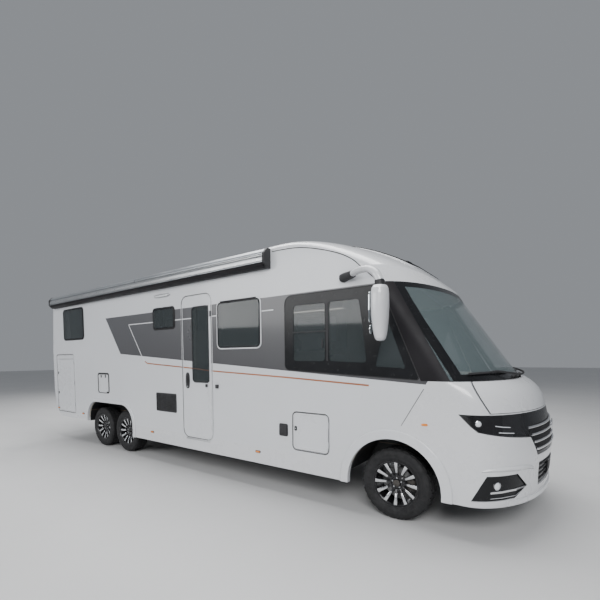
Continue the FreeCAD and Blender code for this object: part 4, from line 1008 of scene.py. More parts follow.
COPPER_LINE = [(v.x, v.y) for v in curve_through([(-4.057, 1.556, 0), (-4.010, 1.534, 0), (-3.955, 1.522, 0),
                                                  (-2.913, 1.459, 0), (-2.457, 1.425, 0), (-1.349, 1.376, 0),
                                                  (-0.238, 1.317, 0)], 5)]
SLANT = [(-4.488, STRIPE_Z), (-4.124, 1.622), (-4.057, 1.556)]
for word, side in SIDES.items():
    bm = bmesh.new()
    gaps = ((-4.488, -3.807), (-3.274, DOOR_X[0]), (DOOR_X[1], -2.399), (-1.618, -1.439)) if side < 0 else (
        (-4.488, -2.925), (-1.680, -1.439))
    for x0, x1 in gaps:
        add(bm, stripe([(x0, STRIPE_Z), (x1, STRIPE_Z)], side, 0.013))
    add(bm, stripe(SLANT, side, 0.013))
    ends = ((-4.057, DOOR_X[0]), (DOOR_X[1], -0.238)) if side < 0 else ((-4.057, -0.238),)
    for x0, x1 in ends:
        add(bm, stripe(clipped(COPPER_LINE, x0, x1), side, 0.017, 0.0016), finish=1)
    piece(f"wall_films_{word}", bm, [pinstripe, copper])

door_films = bmesh.new()
add(door_films, stripe([(DOOR_X[0] + 0.006, STRIPE_Z), (-2.894, STRIPE_Z)], -1, 0.013))
add(door_films, stripe([(-2.551, STRIPE_Z), (DOOR_X[1] - 0.006, STRIPE_Z)], -1, 0.013))
add(door_films, stripe(clipped(COPPER_LINE, DOOR_X[0] + 0.006, DOOR_X[1] - 0.006), -1, 0.017, 0.0016),
    finish=1)
piece("entrance_door_films", door_films, [pinstripe, copper], body="entrance_door")

# %% [markdown]
# ## Entrance door
# The door has a raised edge frame, a tall window in a dark frame, a recessed oval handle and a rail along its
# front edge. Inside there are a lining, a bin and a pull. Everything here rides on the door, so it swings
# with it.

# %% Entrance door fittings
DOOR_BOX = (-3.110, -2.505, 0.490, 2.455)


def door_trim():
    x0, x1, z0, z1 = DOOR_BOX
    outer = rectangle(x0, x1, z0, z1, 0.105, -0.004)
    inner = rectangle(x0, x1, z0, z1, 0.105, -0.013)
    bm = skin(outer, -1, 0.0035, 0.001, [inner], 0.0012)
    pane = rectangle(-2.885, -2.560, 1.277, 2.290, 0.045)
    add(bm, skin(rectangle(-2.885, -2.560, 1.277, 2.290, 0.045, 0.016), -1, 0.008, 0.001, [pane], 0.003, 2),
        finish=1)
    rail = rounded([(-2.547, 0.62), (-2.519, 0.62), (-2.519, 2.33), (-2.547, 2.33)], 0.012)
    add(bm, skin(rail, -1, 0.007, 0.001, (), 0.003, 2), finish=0)
    oval_line = [(-3.008 + 0.044 * x * 2, 1.286 + 0.113 * z * 2) for x, z in oval(32, 3.0)]
    add(bm, skin(oval_line, -1, 0.006, 0.001, (), 0.003, 2), finish=1)
    grip = [at(-3.008, -WALL_Y - out, z) for out, z in ((0.004, 1.355), (0.016, 1.335), (0.019, 1.290),
                                                        (0.016, 1.245), (0.004, 1.225))]
    add(bm, swept(curve_through(grip, 4), oval(12), (0, -1, 0), scales=[(0.014, 0.034)] * 17), finish=1)
    lock = [(0.0, 0.0), (0.0, 0.011), (-0.008, 0.010), (-0.008, 0.0)]
    add(bm, turned(lock, 20, closed=False), Matrix.Translation(at(-3.008, -WALL_Y - 0.005, 1.200)), 2)
    add(bm, block(at(-2.622, -WALL_Y - 0.020, 1.208), at(-2.592, -WALL_Y + 0.001, 1.246), 0.004), finish=1)
    return bm


def door_inside():
    y = -WALL_Y + 0.0405
    bm = plate(rectangle(-3.06, -2.56, 0.60, 1.20, 0.04), y - 0.001, y + 0.006, (), 0.003, 2)
    bin_front = block(at(-2.98, y + 0.004, 0.72), at(-2.64, y + 0.075, 0.86), 0.012)
    add(bm, bin_front, finish=0)
    frame_line = [rectangle(-2.885, -2.560, 1.277, 2.290, 0.045, -0.012)]
    add(bm, plate(rectangle(-2.885, -2.560, 1.277, 2.290, 0.045, 0.03), y - 0.001, y + 0.014, frame_line,
                  0.004, 2))
    add(bm, block(at(-2.86, y + 0.012, 2.262), at(-2.585, y + 0.036, 2.306), 0.008), finish=0)
    pull = [at(-3.045, y + out, z) for out, z in ((0.0, 1.42), (0.035, 1.40), (0.035, 1.22), (0.0, 1.20))]
    return add(bm, swept(curve_through(pull, 4), oval(12), (1, 0, 0), scales=[(0.022, 0.022)] * 13), finish=1)


piece("entrance_door_trim", door_trim(), [moulded_white, textured_black, satin_metal], body="entrance_door")
piece("entrance_door_lining", door_inside(), [lining, textured_black], body="entrance_door")

# %% Door surround, step and retainer on the body
around = bmesh.new()
x0, x1, z0, z1 = DOOR_BOX
add(around, skin(rectangle(x0, x1, z0, z1, 0.105, 0.020), -1, 0.004, 0.001,
                 [rectangle(x0, x1, z0, z1, 0.105, 0.0115)], 0.0015))
add(around, skin(rectangle(x0, x1, z0, z1, 0.105, 0.0112), -1, 0.0015, 0.012,
                 [rectangle(x0, x1, z0, z1, 0.105, 0.0085)]), finish=1)
add(around, skin(rectangle(-2.426, -2.376, 1.198, 1.248, 0.010), -1, 0.022, 0.001, (), 0.005, 2), finish=1)
add(around, block(at(-3.06, -WALL_Y - 0.004, 0.452), at(-2.56, -WALL_Y + 0.02, 0.474), 0.006), finish=2)
add(around, skin([(-3.559 + 0.18 * 2 * x, 2.526 + 0.022 * 2 * z) for x, z in oval(36, 3.4)], -1, 0.022,
                 0.001, (), 0.008, 3), finish=2)
add(around, skin([(-3.559 + 0.155 * 2 * x, 2.522 + 0.012 * 2 * z) for x, z in oval(36, 3.4)], -1, 0.0235,
                 -0.018, (), 0.002), finish=3)
piece("entrance_surround", around, [moulded_white, textured_black, satin_metal, clear_lens])

# %% [markdown]
# ## Lids in the walls
# The garage doors, service hatch and cassette hatch share one pattern: a raised edge frame, a shallow
# panel line
# and push-button locks on the free edge. One function makes each from its outline.

# %% Lids
LIDS = (  # body, side, outline, corner, locks
    ("garage_door_right", -1, (-7.205, -6.465, 0.550, 1.685), 0.045, ((-7.165, 0.92), (-7.165, 1.32))),
    ("garage_door_left", 1, (-7.205, -6.465, 0.550, 1.685), 0.045, ((-7.165, 0.92), (-7.165, 1.32))),
    ("service_hatch", -1, (-1.161, -0.703, 0.565, 0.978), 0.045, ((-1.128, 0.80),)),
    ("cassette_hatch", -1, (-5.525, -5.185, 1.015, 1.325), 0.025, ((-5.43, 1.292), (-5.28, 1.292))))
for body, side, (x0, x1, z0, z1), corner, locks in LIDS:
    bm = skin(rectangle(x0, x1, z0, z1, corner, -0.004), side, 0.004, 0.001,
              [rectangle(x0, x1, z0, z1, corner, -0.022)], 0.0015)
    for x, z in locks:
        add(bm,
            skin(rounded([(x - 0.017, z - 0.026), (x + 0.017, z - 0.026), (x + 0.017, z + 0.026),
                          (x - 0.017, z + 0.026)], 0.012), side, 0.007, 0.001, (), 0.003, 2), finish=1)
        key = [(0.0, 0.0), (0.0, 0.008), (0.004, 0.007), (0.004, 0.0)]
        spot = Matrix.Translation(at(x, side * (WALL_Y + 0.006), z)) @ Matrix.Scale(side, 4, (0, 1, 0))
        add(bm, turned(key, 16, closed=False), spot, 2)
    if body.startswith("garage"):
        add(bm, stripe([(x0 + 0.03, 1.602), (x1 - 0.03, 1.602)], side, 0.006, 0.002), finish=1)
    piece(f"{body}_trim", bm, [moulded_white, textured_black, satin_metal], body=body)
    surround = skin(rectangle(x0, x1, z0, z1, corner, 0.018), side, 0.003, 0.001,
                    [rectangle(x0, x1, z0, z1, corner, 0.0105)], 0.0015)
    tone = rubber if body == "cassette_hatch" else moulded_white
    piece(f"{body}_surround", surround, tone)

# %% [markdown]
# ## Vent, socket, lights and fillers on the walls
# Small fittings give a wall its scale: a fridge vent with slats, the mains inlet with its flap, marker
# lamps along
# the skirt, and on the hidden side the fuel flap and the water filler, placed as this type of vehicle has
# them.

# %% Wall fittings
def louvre(x0, x1, z0, z1, side, slats, corner=0.02):
    """A framed vent with slats that lean outward."""
    bm = skin(rectangle(x0, x1, z0, z1, corner), side, 0.008, 0.001,
              [rectangle(x0, x1, z0, z1, corner, -0.018)], 0.003, 2)
    add(bm, skin(rectangle(x0, x1, z0, z1, corner, -0.010), side, 0.001, 0.0), finish=0)
    pitch = (z1 - z0 - 0.05) / slats
    for k in range(slats):
        z = z0 + 0.025 + pitch * (k + 0.5)
        slat = block((x0 + 0.015 + AXLE_X, -0.006, -0.0018), (x1 - 0.015 + AXLE_X, 0.006, 0.0018), 0.0008)
        lean = Matrix.Translation((0, side * (WALL_Y + 0.0045), z)) @ Matrix.Rotation(-side * 0.6, 4, "X")
        add(bm, slat, lean)
    return bm


piece("side_vent", louvre(-3.767, -3.275, 0.80, 1.08, -1, 11), textured_black)
piece("fridge_vent_low", louvre(-3.35, -2.90, 0.72, 0.98, 1, 10), moulded_white)
piece("fridge_vent_high", louvre(-3.35, -2.90, 1.14, 1.40, 1, 10), moulded_white)


def flap(x, z, wide, tall, side, corner=0.02):
    """A small hinged cover on its raised base."""
    box = rounded([(x - wide / 2, z - tall / 2), (x + wide / 2, z - tall / 2), (x + wide / 2, z + tall / 2),
                   (x - wide / 2, z + tall / 2)], corner)
    lid = rounded([(x - wide / 2 + 0.01, z - tall / 2 + 0.01), (x + wide / 2 - 0.01, z - tall / 2 + 0.01),
                   (x + wide / 2 - 0.01, z + tall / 2 - 0.012),
                   (x - wide / 2 + 0.01, z + tall / 2 - 0.012)], corner * 0.7)
    bm = skin(box, side, 0.010, 0.001, (), 0.004, 2)
    add(bm, skin(lid, side, 0.019, -0.008, (), 0.005, 2))
    return add(bm, skin(rectangle(x - 0.018, x + 0.018, z - tall / 2 + 0.012, z - tall / 2 + 0.028, 0.006),
                        side, 0.023, -0.017, (), 0.002), finish=1)


fittings = bmesh.new()
add(fittings, flap(-1.300, 0.765, 0.125, 0.145, -1), finish=1)
add(fittings, flap(-4.30, 1.18, 0.15, 0.17, 1))
add(fittings, flap(-1.62, 1.02, 0.17, 0.19, 1, 0.035))
piece("inlets_and_fillers", fittings, [moulded_white, textured_black])

markers = bmesh.new()
for word, side in SIDES.items():
    for x, z in ((-1.700, 0.452), (-3.900, 0.452), (-6.150, 0.560), (-7.20, 0.600)):
        box = [(x + 0.042 * 2 * p, z + 0.016 * 2 * q) for p, q in oval(24, 3.5)]
        add(markers, skin(box, side, 0.006, 0.001, (), 0.003, 2), finish=0)
        lens = [(x + 0.034 * 2 * p, z + 0.0105 * 2 * q) for p, q in oval(24, 3.5)]
        add(markers, skin(lens, side, 0.010, -0.004, (), 0.003, 2), finish=1)
piece("side_markers", markers, [textured_black, amber_lens])

# %% [markdown]
# ## Front: grille and lower intake
# The grille's four bright bars follow the curved nose. Points shot at the CAD panel from ahead give each
# bar its
# line, so it lies on the true surface. The emblem is a plain domed disc.

# %% Grille bars and emblem
def front_line(node, z0, z1, y0, y1, steps=24, lift=0.0):
    """A line over the nose from one side to the other, shot at a node from ahead."""
    return laid(node, between(at(3.0, y0, z0), at(3.0, y1, z1), steps), (-1, 0, 0), lift)


def reach_of(node, z, far=1.10):
    """How far to the side a node can be met from ahead, at a height."""
    y = far
    while y > 0.0:
        if tree_of(node).ray_cast(at(3.0, y, z), Vector((-1, 0, 0)))[0] is not None:
            return y
        y -= 0.005
    return 0.0


def facing(spot, normal):
    """Places a part made about +Y so that it looks along a normal."""
    return Matrix.Translation(spot) @ Vector((0, 1, 0)).rotation_difference(normal).to_matrix().to_4x4()


front_trim = bmesh.new()
for z in (0.775, 0.840, 0.905, 0.970):
    reach = reach_of("grille", z) - 0.014
    places, normals = front_line("grille", z, z, -reach, reach, 36)
    add(front_trim, swept(places, bar_of(0.017, 0.021, 0.006, -0.004), normals))
spot, normal = onto("grille", at(3.0, 0.0, 0.905), (-1, 0, 0))
disc = [(0.0, 0.0), (0.0, 0.060), (0.009, 0.057), (0.012, 0.048), (0.008, 0.042), (0.013, 0.018),
        (0.014, 0.0)]
add(front_trim, turned(disc, 40, closed=False), facing(spot + normal * 0.012, Vector((1, 0, 0))))
piece("grille_bars", front_trim, chrome, crease=50)

# %% [markdown]
# Behind the bars is a mesh of small ribs. Upright ribs on the dark panel give the same broken reflections
# with few
# faces. The lower intake carries a plain number-plate carrier and slats.

# %% Grille ribs, intake and plate
ribs = bmesh.new()
reach = reach_of("grille", 0.93) - 0.03
count = 58
for k in range(count + 1):
    y = -reach + 2 * reach * k / count
    heights = [z for z in (0.748, 0.80, 0.86, 0.92, 0.985) if reach_of("grille", z) > abs(y) + 0.01]
    if len(heights) < 2:
        continue
    places, normals = laid("grille", [at(3.0, y, z) for z in heights], (-1, 0, 0))
    add(ribs, swept(places, bar_of(0.0045, 0.006, 0.0, -0.002), normals))
for z in (0.470, 0.515, 0.560, 0.605):
    reach = reach_of("grille", z, 0.60) - 0.02
    places, normals = front_line("grille", z, z, -reach, reach, 20)
    add(ribs, swept(places, bar_of(0.010, 0.012, 0.003, -0.003), normals))
places, normals = front_line("grille", 0.535, 0.535, -0.27, 0.27, 12, 0.010)
add(ribs, swept(places, bar_of(0.010, 0.130, 0.003, -0.012), normals), finish=1)
places, normals = front_line("grille", 0.535, 0.535, -0.255, 0.255, 12, 0.018)
add(ribs, swept(places, bar_of(0.0035, 0.108, 0.001, 0.0), normals), finish=2)
piece("grille_ribs_and_plate", ribs, [textured_black, acrylic_black, charcoal])

# %% [markdown]
# ## Headlamps, fog lamps and repeaters
# Each headlamp shows a round lens in a bright ring and two slim light bars. They are set on the dark
# cover's own
# surface at their places, facing ahead, and mirrored for the other side.

# %% Lamps
def round_lamp(radius, deep=0.012):
    """A bright ring with a domed lens in it."""
    bm = turned([(-0.004, radius), (-0.004, radius * 1.18), (deep * 0.5, radius * 1.15),
                 (deep * 0.6, radius * 1.02)], 40)
    return add(bm, turned([(deep * 0.1, radius * 1.04), (deep * 0.75, radius * 0.72), (deep, 0.0)], 40,
                          closed=False), finish=1)


def light_bar(node, points, wide, lift=0.002):
    """A slim glowing bar with a bright edge, laid on a lamp's surface."""
    hits = [near(node, at(*point), lift) for point in points]
    places = [spot for spot, _ in hits]
    normals = [normal for _, normal in hits]
    bm = swept(places, bar_of(0.004, wide * 1.5, 0.001, -0.005), normals)
    return add(bm, swept(places, bar_of(0.006, wide, 0.002, 0.0), normals), finish=1)


def head_lamp():
    bm = bmesh.new()
    ahead = Vector((0.8, -0.6, 0.0))
    spot, normal = near("lights", at(0.749, -1.150, 1.030))
    add(bm, round_lamp(0.022), facing(spot, (normal + ahead * 0.4).normalized()))
    add(bm, light_bar("lights", [(0.870, -1.075, 1.012), (0.925, -1.030, 1.003), (0.975, -0.970, 0.997)],
                      0.005))
    add(bm, light_bar("lights", [(0.900, -1.065, 0.958), (0.955, -1.010, 0.952), (1.005, -0.945, 0.947)],
                      0.005))
    return bm


def fog_lamp():
    bm = bmesh.new()
    spot, normal = near("grille", at(0.905, -1.075, 0.500))
    add(bm, round_lamp(0.030, 0.014), facing(spot, (normal + Vector((0.7, -0.3, 0))).normalized()))
    for z0, z1, wide, finish in ((0.441, 0.452, 0.020, 0), (0.392, 0.400, 0.008, 0)):
        points = [at(0.852, -1.110, z0), at(0.930, -1.040, (z0 + z1) / 2), at(1.020, -0.900, z1),
                  at(1.090, -0.760, z1)]
        hits = [near("grille", point) for point in points]
        add(bm, swept([spot for spot, _ in hits], bar_of(0.009, wide, 0.003, -0.003), [n for _, n in hits]),
            finish=finish)
    return bm


def repeater():
    outline = [(0.306 + 0.030 * 2 * p, 0.981 + 0.011 * 2 * q) for p, q in oval(20, 3.0)]
    return skin(outline, -1, 0.007, 0.001, (), 0.003, 2)


lamps = bmesh.new()
add_both(lamps, head_lamp)
add_both(lamps, fog_lamp)
piece("front_lamps", lamps, [chrome, lit_lens], crease=50)
repeaters = bmesh.new()
add_both(repeaters, repeater)
piece("side_repeaters", repeaters, amber_lens)

# %% [markdown]
# ## Windscreen
# A black ceramic border hides the glue all round the glass, and two long wipers meet in the middle. Its top
# band is black frit and also painted shade for the dark strip under the cap's overhanging brow. The border
# and the wipers are laid on the glass by rays, so they bend with it.

# %% Glass border and wipers
def glass_line(z, y0, y1, steps, lift=0.0):
    return laid("windscreen", between(at(3.0, y0, z), at(3.0, y1, z), steps), (-1, 0, 0), lift)


border = bmesh.new()
# The top band, at 2.290, is black frit and also painted shade: it darkens the glass under the cap's
# overhanging brow.
for z, wide in ((1.408, 0.060), (2.290, 0.062)):
    reach = reach_of("windscreen", z) - 0.006
    places, normals = glass_line(z, -reach, reach, 40)
    add(border, swept(places, bar_of(0.0012, wide, 0.0, -0.0005), normals))
levels = [1.385 + 0.92 * k / 14 for k in range(15)]
edges_at = [reach_of("windscreen", z) for z in levels]
for side in SIDES.values():
    for inward, wide in ((0.004, 0.045), (0.014, 0.055), (0.034, 0.055)):
        points = [at(3.0, side * (edge - inward), z) for edge, z in zip(edges_at, levels)]
        places, normals = laid("windscreen", points, (-1, 0, 0))
        add(border, swept(places, bar_of(0.0012, wide, 0.0, -0.0005), normals))
piece("windscreen_border_and_brow_shade", border, acrylic_black)


def wiper():
    blade = [at(3.0, y, z) for y, z in ((-1.000, 1.432), (-0.880, 1.436), (-0.760, 1.438), (-0.640, 1.438),
                                        (-0.520, 1.436), (-0.400, 1.430))]
    places, normals = laid("windscreen", blade, (-1, 0, 0), 0.004)
    bm = swept(places, bar_of(0.020, 0.009, 0.002, -0.003), normals)
    places, normals = laid("windscreen", blade, (-1, 0, 0), 0.018)
    add(bm, swept(places[:-1], bar_of(0.010, 0.020, 0.003, 0.0), normals[:-1]))
    hub, _ = onto("windscreen", at(3.0, -0.270, 1.392), (-1, 0, 0))
    arm = [hub + Vector((0.016, 0, 0.0)), hub + Vector((0.040, -0.10, 0.028)), places[3] + normals[3] * 0.016,
           places[2] + normals[2] * 0.008]
    add(bm, swept(curve_through(arm, 5), oval(10), (1, 0, 0),
                  scales=[(0.014, 0.024 - 0.0006 * k) for k in range(16)]))
    return add(bm, turned([(-0.01, 0.0), (-0.01, 0.022), (0.018, 0.020), (0.024, 0.012), (0.024, 0.0)], 24,
                          closed=False), facing(hub + Vector((0.004, 0, 0)), Vector((0.7, 0, 0.7))))


wipers = bmesh.new()
add_both(wipers, wiper)
piece("wipers", wipers, textured_black)

# %% [markdown]
# ## Awning
# The awning's roll hides in a long case with a rounded front, a seam where the lead rail closes against
# it, and a
# moulded cap at each end. One section is carried along the vehicle, in bands of different finish.

# %% Awning case
AWNING_LOW, AWNING_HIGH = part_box("awning_case")
AWNING_OUT = AWNING_LOW.y        # its outermost face
AWNING_IN = AWNING_HIGH.y


def awning_part(x0, x1, points, radii, finish_steps=4):
    """A section in (out from the wall, height) carried along the vehicle."""
    outline = rounded([(out, z) for out, z in points], radii, finish_steps)
    bm = bmesh.new()
    face = bm.faces.new([bm.verts.new((x0, AWNING_IN - out, z)) for out, z in outline])
    made = bmesh.ops.extrude_face_region(bm, geom=[face])["geom"]
    bmesh.ops.translate(bm, vec=(x1 - x0, 0, 0), verts=points_of(made))
    bmesh.ops.recalc_face_normals(bm, faces=bm.faces)
    return bm


deep = AWNING_IN - AWNING_OUT
z0, z1 = AWNING_LOW.z, AWNING_HIGH.z
x0, x1 = AWNING_LOW.x + 0.030, AWNING_HIGH.x - 0.030
awning = bmesh.new()
add(awning, awning_part(x0, x1, [(0.002, z1 - 0.002), (0.055, z1 - 0.002), (0.095, z1 - 0.045),
                                 (0.095, z1 - 0.070), (0.002, z1 - 0.070)],
                        [0.002, 0.03, 0.03, 0.002, 0.002]), finish=0)
add(awning, awning_part(x0, x1, [(0.004, z1 - 0.075), (0.104, z1 - 0.075), (deep - 0.006, z1 - 0.110),
                                 (deep - 0.006, z0 + 0.075), (0.004, z0 + 0.075)],
                        [0.002, 0.02, 0.02, 0.004, 0.002]), finish=1)
add(awning, awning_part(x0, x1, [(0.004, z0 + 0.070), (deep - 0.001, z0 + 0.070), (deep - 0.001, z0 + 0.060),
                                 (0.004, z0 + 0.060)], [0.001] * 4), finish=0)
add(awning, awning_part(x0, x1, [(0.004, z0 + 0.058), (deep - 0.004, z0 + 0.058),
                                 (deep - 0.014, z0 + 0.022), (0.060, z0 + 0.001), (0.010, z0 + 0.001)],
                        [0.002, 0.01, 0.02, 0.02, 0.002]), finish=2)
for end_x, step in ((AWNING_LOW.x, 1), (AWNING_HIGH.x, -1)):
    cap = awning_part(min(end_x, end_x + step * 0.034), max(end_x, end_x + step * 0.034),
                      [(0.0, z1), (0.058, z1), (deep, z1 - 0.070), (deep, z0 + 0.055), (0.060, z0),
                       (0.0, z0)], [0.002, 0.03, 0.03, 0.02, 0.02, 0.002])
    add(awning, soften(cap, 0.006, 2, 60), finish=3)
for k in range(5):
    x = x0 + 0.25 + (x1 - x0 - 0.5) * k / 4
    add(awning, block((x - 0.06, AWNING_IN - 0.030, z1 - 0.004), (x + 0.06, AWNING_IN + 0.0, z1 + 0.000),
                      0.0015), finish=0)
awning_piece = piece("awning_roll_case", awning, [anodised, satin_metal, charcoal, textured_black])
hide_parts("awning_case")

# %% [markdown]
# ## Roof: rails, windows and fittings
# The roof's edges carry slim cover rails. Each roof window is a dome in a white frame, and the great
# front window
# over the cab lies flush in a black border. A flat aerial and a solar panel finish the deck, as on this type.

# %% Roof fittings
ROOF_Z = onto("roof", at(-4.60, 0.55, 5.0), (0, 0, -1))[0].z
print("roof height", round(ROOF_Z, 4))
roof_bits = bmesh.new()
for x0, x1, half in ((-6.500, -5.800, 0.250), (-4.300, -3.900, 0.200), (-3.050, -2.350, 0.250)):
    frame_outer = [(x0 - 0.035, -half - 0.035), (x1 + 0.035, -half - 0.035), (x1 + 0.035, half + 0.035),
                   (x0 - 0.035, half + 0.035)]
    path = [at(x, y, ROOF_Z + 0.004) for x, y in rounded(frame_outer, 0.05, 4)]
    add(roof_bits, swept(path, rounded([(-0.006, -0.028), (0.016, -0.028), (0.022, 0.012), (-0.006, 0.020)],
                                       0.004, 2), (0, 0, 1), closed=True), finish=0)
    for y in (-half * 0.5, half * 0.5):
        add(roof_bits, block(at(x0 - 0.058, y - 0.03, ROOF_Z), at(x0 - 0.018, y + 0.03, ROOF_Z + 0.030),
                             0.006), finish=1)
for word, side in SIDES.items():
    path = [at(-7.30 + 4.9 * k / 8, side * 1.065, ROOF_Z + 0.000) for k in range(9)]
    lie = [onto("roof", point + Vector((0, 0, 1)), (0, 0, -1))[0] for point in path]
    add(roof_bits, swept(lie, rounded([(-0.003, -0.022), (0.010, -0.018), (0.010, 0.018), (-0.003, 0.022)],
                                      0.004, 2), (0, 0, 1)), finish=2)
panel = block(at(-5.66, -0.52, ROOF_Z + 0.012), at(-4.42, 0.52, ROOF_Z + 0.040), 0.004)
add(roof_bits, panel, finish=2)
add(roof_bits, block(at(-5.64, -0.50, ROOF_Z + 0.038), at(-4.44, 0.50, ROOF_Z + 0.0425), 0.001), finish=3)
for x in (-5.62, -4.46):
    for y in (-0.49, 0.49):
        add(roof_bits, block(at(x - 0.05, y - 0.04, ROOF_Z - 0.002), at(x + 0.05, y + 0.04, ROOF_Z + 0.020),
                             0.006), finish=1)
aerial = turned([(0.0, 0.0), (0.0, 0.055), (0.018, 0.05), (0.030, 0.030), (0.034, 0.0)], 28, closed=False)
add(roof_bits, aerial, facing(at(-3.60, 0.55, ROOF_Z - 0.001), Vector((0, 0, 1))), 1)
solar_cells = finish("solar cells", (0.012, 0.016, 0.035), rough=0.22, vary=0.35, patch=6.4, grain=700.0,
                     Coat_Weight=1.0)
piece("roof_fittings", roof_bits, [moulded_white, textured_black, anodised, solar_cells])

# %% [markdown]
# ## Tail
# The tail shows stacked round lamps in upright clusters, a bumper skin with reflectors, a blank plate
# under its own
# light, a high brake light and a rear camera under a small hood.

# %% Tail fittings
def tail_spot(y, z, lift=0.0):
    spot, normal = onto("rear_panel", at(-9.0, y, z), (1, 0, 0))
    return spot + Vector((-lift, 0, 0)), Vector((-1, 0, 0))


def tail_lamp():
    bm = bmesh.new()
    low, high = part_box("lights")
    face_x = low.x
    for z, radius, finish in ((1.235, 0.047, 0), (1.125, 0.047, 0), (1.015, 0.047, 1), (0.905, 0.042, 2)):
        ring = turned([(-0.004, radius), (-0.004, radius * 1.13), (0.003, radius * 1.10), (0.004, radius)],
                      36)
        place = facing(Vector((face_x - 0.001, -1.015, z)), Vector((-1, 0, 0)))
        add(bm, ring, place, 3)
        lens = turned([(-0.001, radius), (0.004, radius * 0.9), (0.0065, radius * 0.5), (0.005, 0.0)], 36,
                      closed=False)
        add(bm, lens, place, finish)
    return bm


tail_lamps = bmesh.new()
add_both(tail_lamps, tail_lamp)
piece("tail_lamp_lenses", tail_lamps, [red_lens, amber_lens, clear_lens, chrome], crease=50)

tail = bmesh.new()
places, normals = laid("rear_panel", between(at(-9.0, -1.02, 0.560), at(-9.0, 1.02, 0.560), 24), (1, 0, 0))
add(tail, swept(places, rounded([(-0.003, -0.020), (0.010, -0.016), (0.010, 0.016), (-0.003, 0.020)], 0.005,
                                2), normals), finish=0)
spot, _ = tail_spot(0.0, 0.700)
add(tail, block(spot + Vector((-0.010, -0.28, -0.065)), spot + Vector((0.003, 0.28, 0.065)), 0.004), finish=0)
add(tail, block(spot + Vector((-0.0125, -0.26, -0.055)), spot + Vector((-0.009, 0.26, 0.055)), 0.001),
    finish=1)
add(tail, block(spot + Vector((-0.026, -0.13, 0.070)), spot + Vector((0.003, 0.13, 0.098)), 0.008), finish=0)
for side in SIDES.values():
    spot, _ = tail_spot(side * 0.86, 0.640)
    add(tail, block(spot + Vector((-0.008, -0.075, -0.020)), spot + Vector((0.003, 0.075, 0.020)), 0.005),
        finish=2)
spot, _ = tail_spot(0.0, 2.640)
add(tail, block(spot + Vector((-0.012, -0.17, -0.014)), spot + Vector((0.010, 0.17, 0.014)), 0.005), finish=2)
spot, _ = tail_spot(0.0, 2.540)
add(tail, block(spot + Vector((-0.030, -0.045, -0.028)), spot + Vector((0.010, 0.045, 0.028)), 0.012, 3),
    finish=0)
camera_eye = turned([(0.0, 0.0), (0.0, 0.016), (0.006, 0.014), (0.008, 0.0)], 24, closed=False)
add(tail, camera_eye, facing(spot + Vector((-0.028, 0, -0.004)), Vector((-1, 0, 0))), 3)
for side in SIDES.values():
    edge = [onto("rear_panel", at(-9.0, side * 0.90, z), (1, 0, 0))
            for z in [0.78 + 1.8 * k / 16 for k in range(17)]]
    add(tail,
        swept([s for s, _ in edge], rounded([(-0.003, -0.009), (0.003, -0.006), (0.003, 0.006),
                                             (-0.003, 0.009)], 0.002, 2), [Vector((-1, 0, 0))] * 17),
        finish=4)
piece("tail_fittings", tail, [textured_black, pinstripe, red_lens, clear_lens, moulded_white])

# %% [markdown]
# ## Upholstered pads
# A cushion is a crowned closed form whose sides pull in between its corners. Each pad starts as a
# softened block a little smaller than its place. It is remeshed to an even grid, blown up with Cloth
# pressure for twenty frames with gravity off, and its movement is capped.

# %% A padded cushion
CLOTH_FRAMES = 20


def inflated(source, pressure=4.0, cap=0.014, pin_below=None):
    """Blows up a mesh object with cloth pressure and caps how far each point has moved."""
    before = [vertex.co.copy() for vertex in source.data.vertices]
    cloth_step = source.modifiers.new("cloth", "CLOTH")
    settings = cloth_step.settings
    settings.use_pressure = True
    settings.uniform_pressure_force = pressure
    settings.quality = 5
    settings.effector_weights.gravity = 0.0
    cloth_step.collision_settings.use_self_collision = False
    cloth_step.point_cache.frame_start = 1
    cloth_step.point_cache.frame_end = CLOTH_FRAMES
    for frame_number in range(1, CLOTH_FRAMES + 1):
        bpy.context.scene.frame_set(frame_number)
    shaped = source.evaluated_get(bpy.context.evaluated_depsgraph_get())
    after = [vertex.co.copy() for vertex in shaped.data.vertices]
    source.modifiers.remove(cloth_step)
    for vertex, start, end in zip(source.data.vertices, before, after):
        move = end - start
        vertex.co = start + (move.normalized() * cap if move.length > cap else move)
    bpy.context.scene.frame_set(1)
    return source


def remeshed(bm, voxel):
    """An even, closed quad mesh of a shape, as a loose object."""
    mesh = bpy.data.meshes.new("remesh")
    bm.to_mesh(mesh)
    bm.free()
    holder = bpy.data.objects.new("remesh", mesh)
    bpy.context.scene.collection.objects.link(holder)
    step = holder.modifiers.new("remesh", "REMESH")
    step.mode = "VOXEL"
    step.voxel_size = voxel
    shaped = holder.evaluated_get(bpy.context.evaluated_depsgraph_get())
    even = bpy.data.meshes.new_from_object(shaped)
    holder.modifiers.remove(step)
    holder.data = even
    bpy.data.meshes.remove(mesh)
    return holder


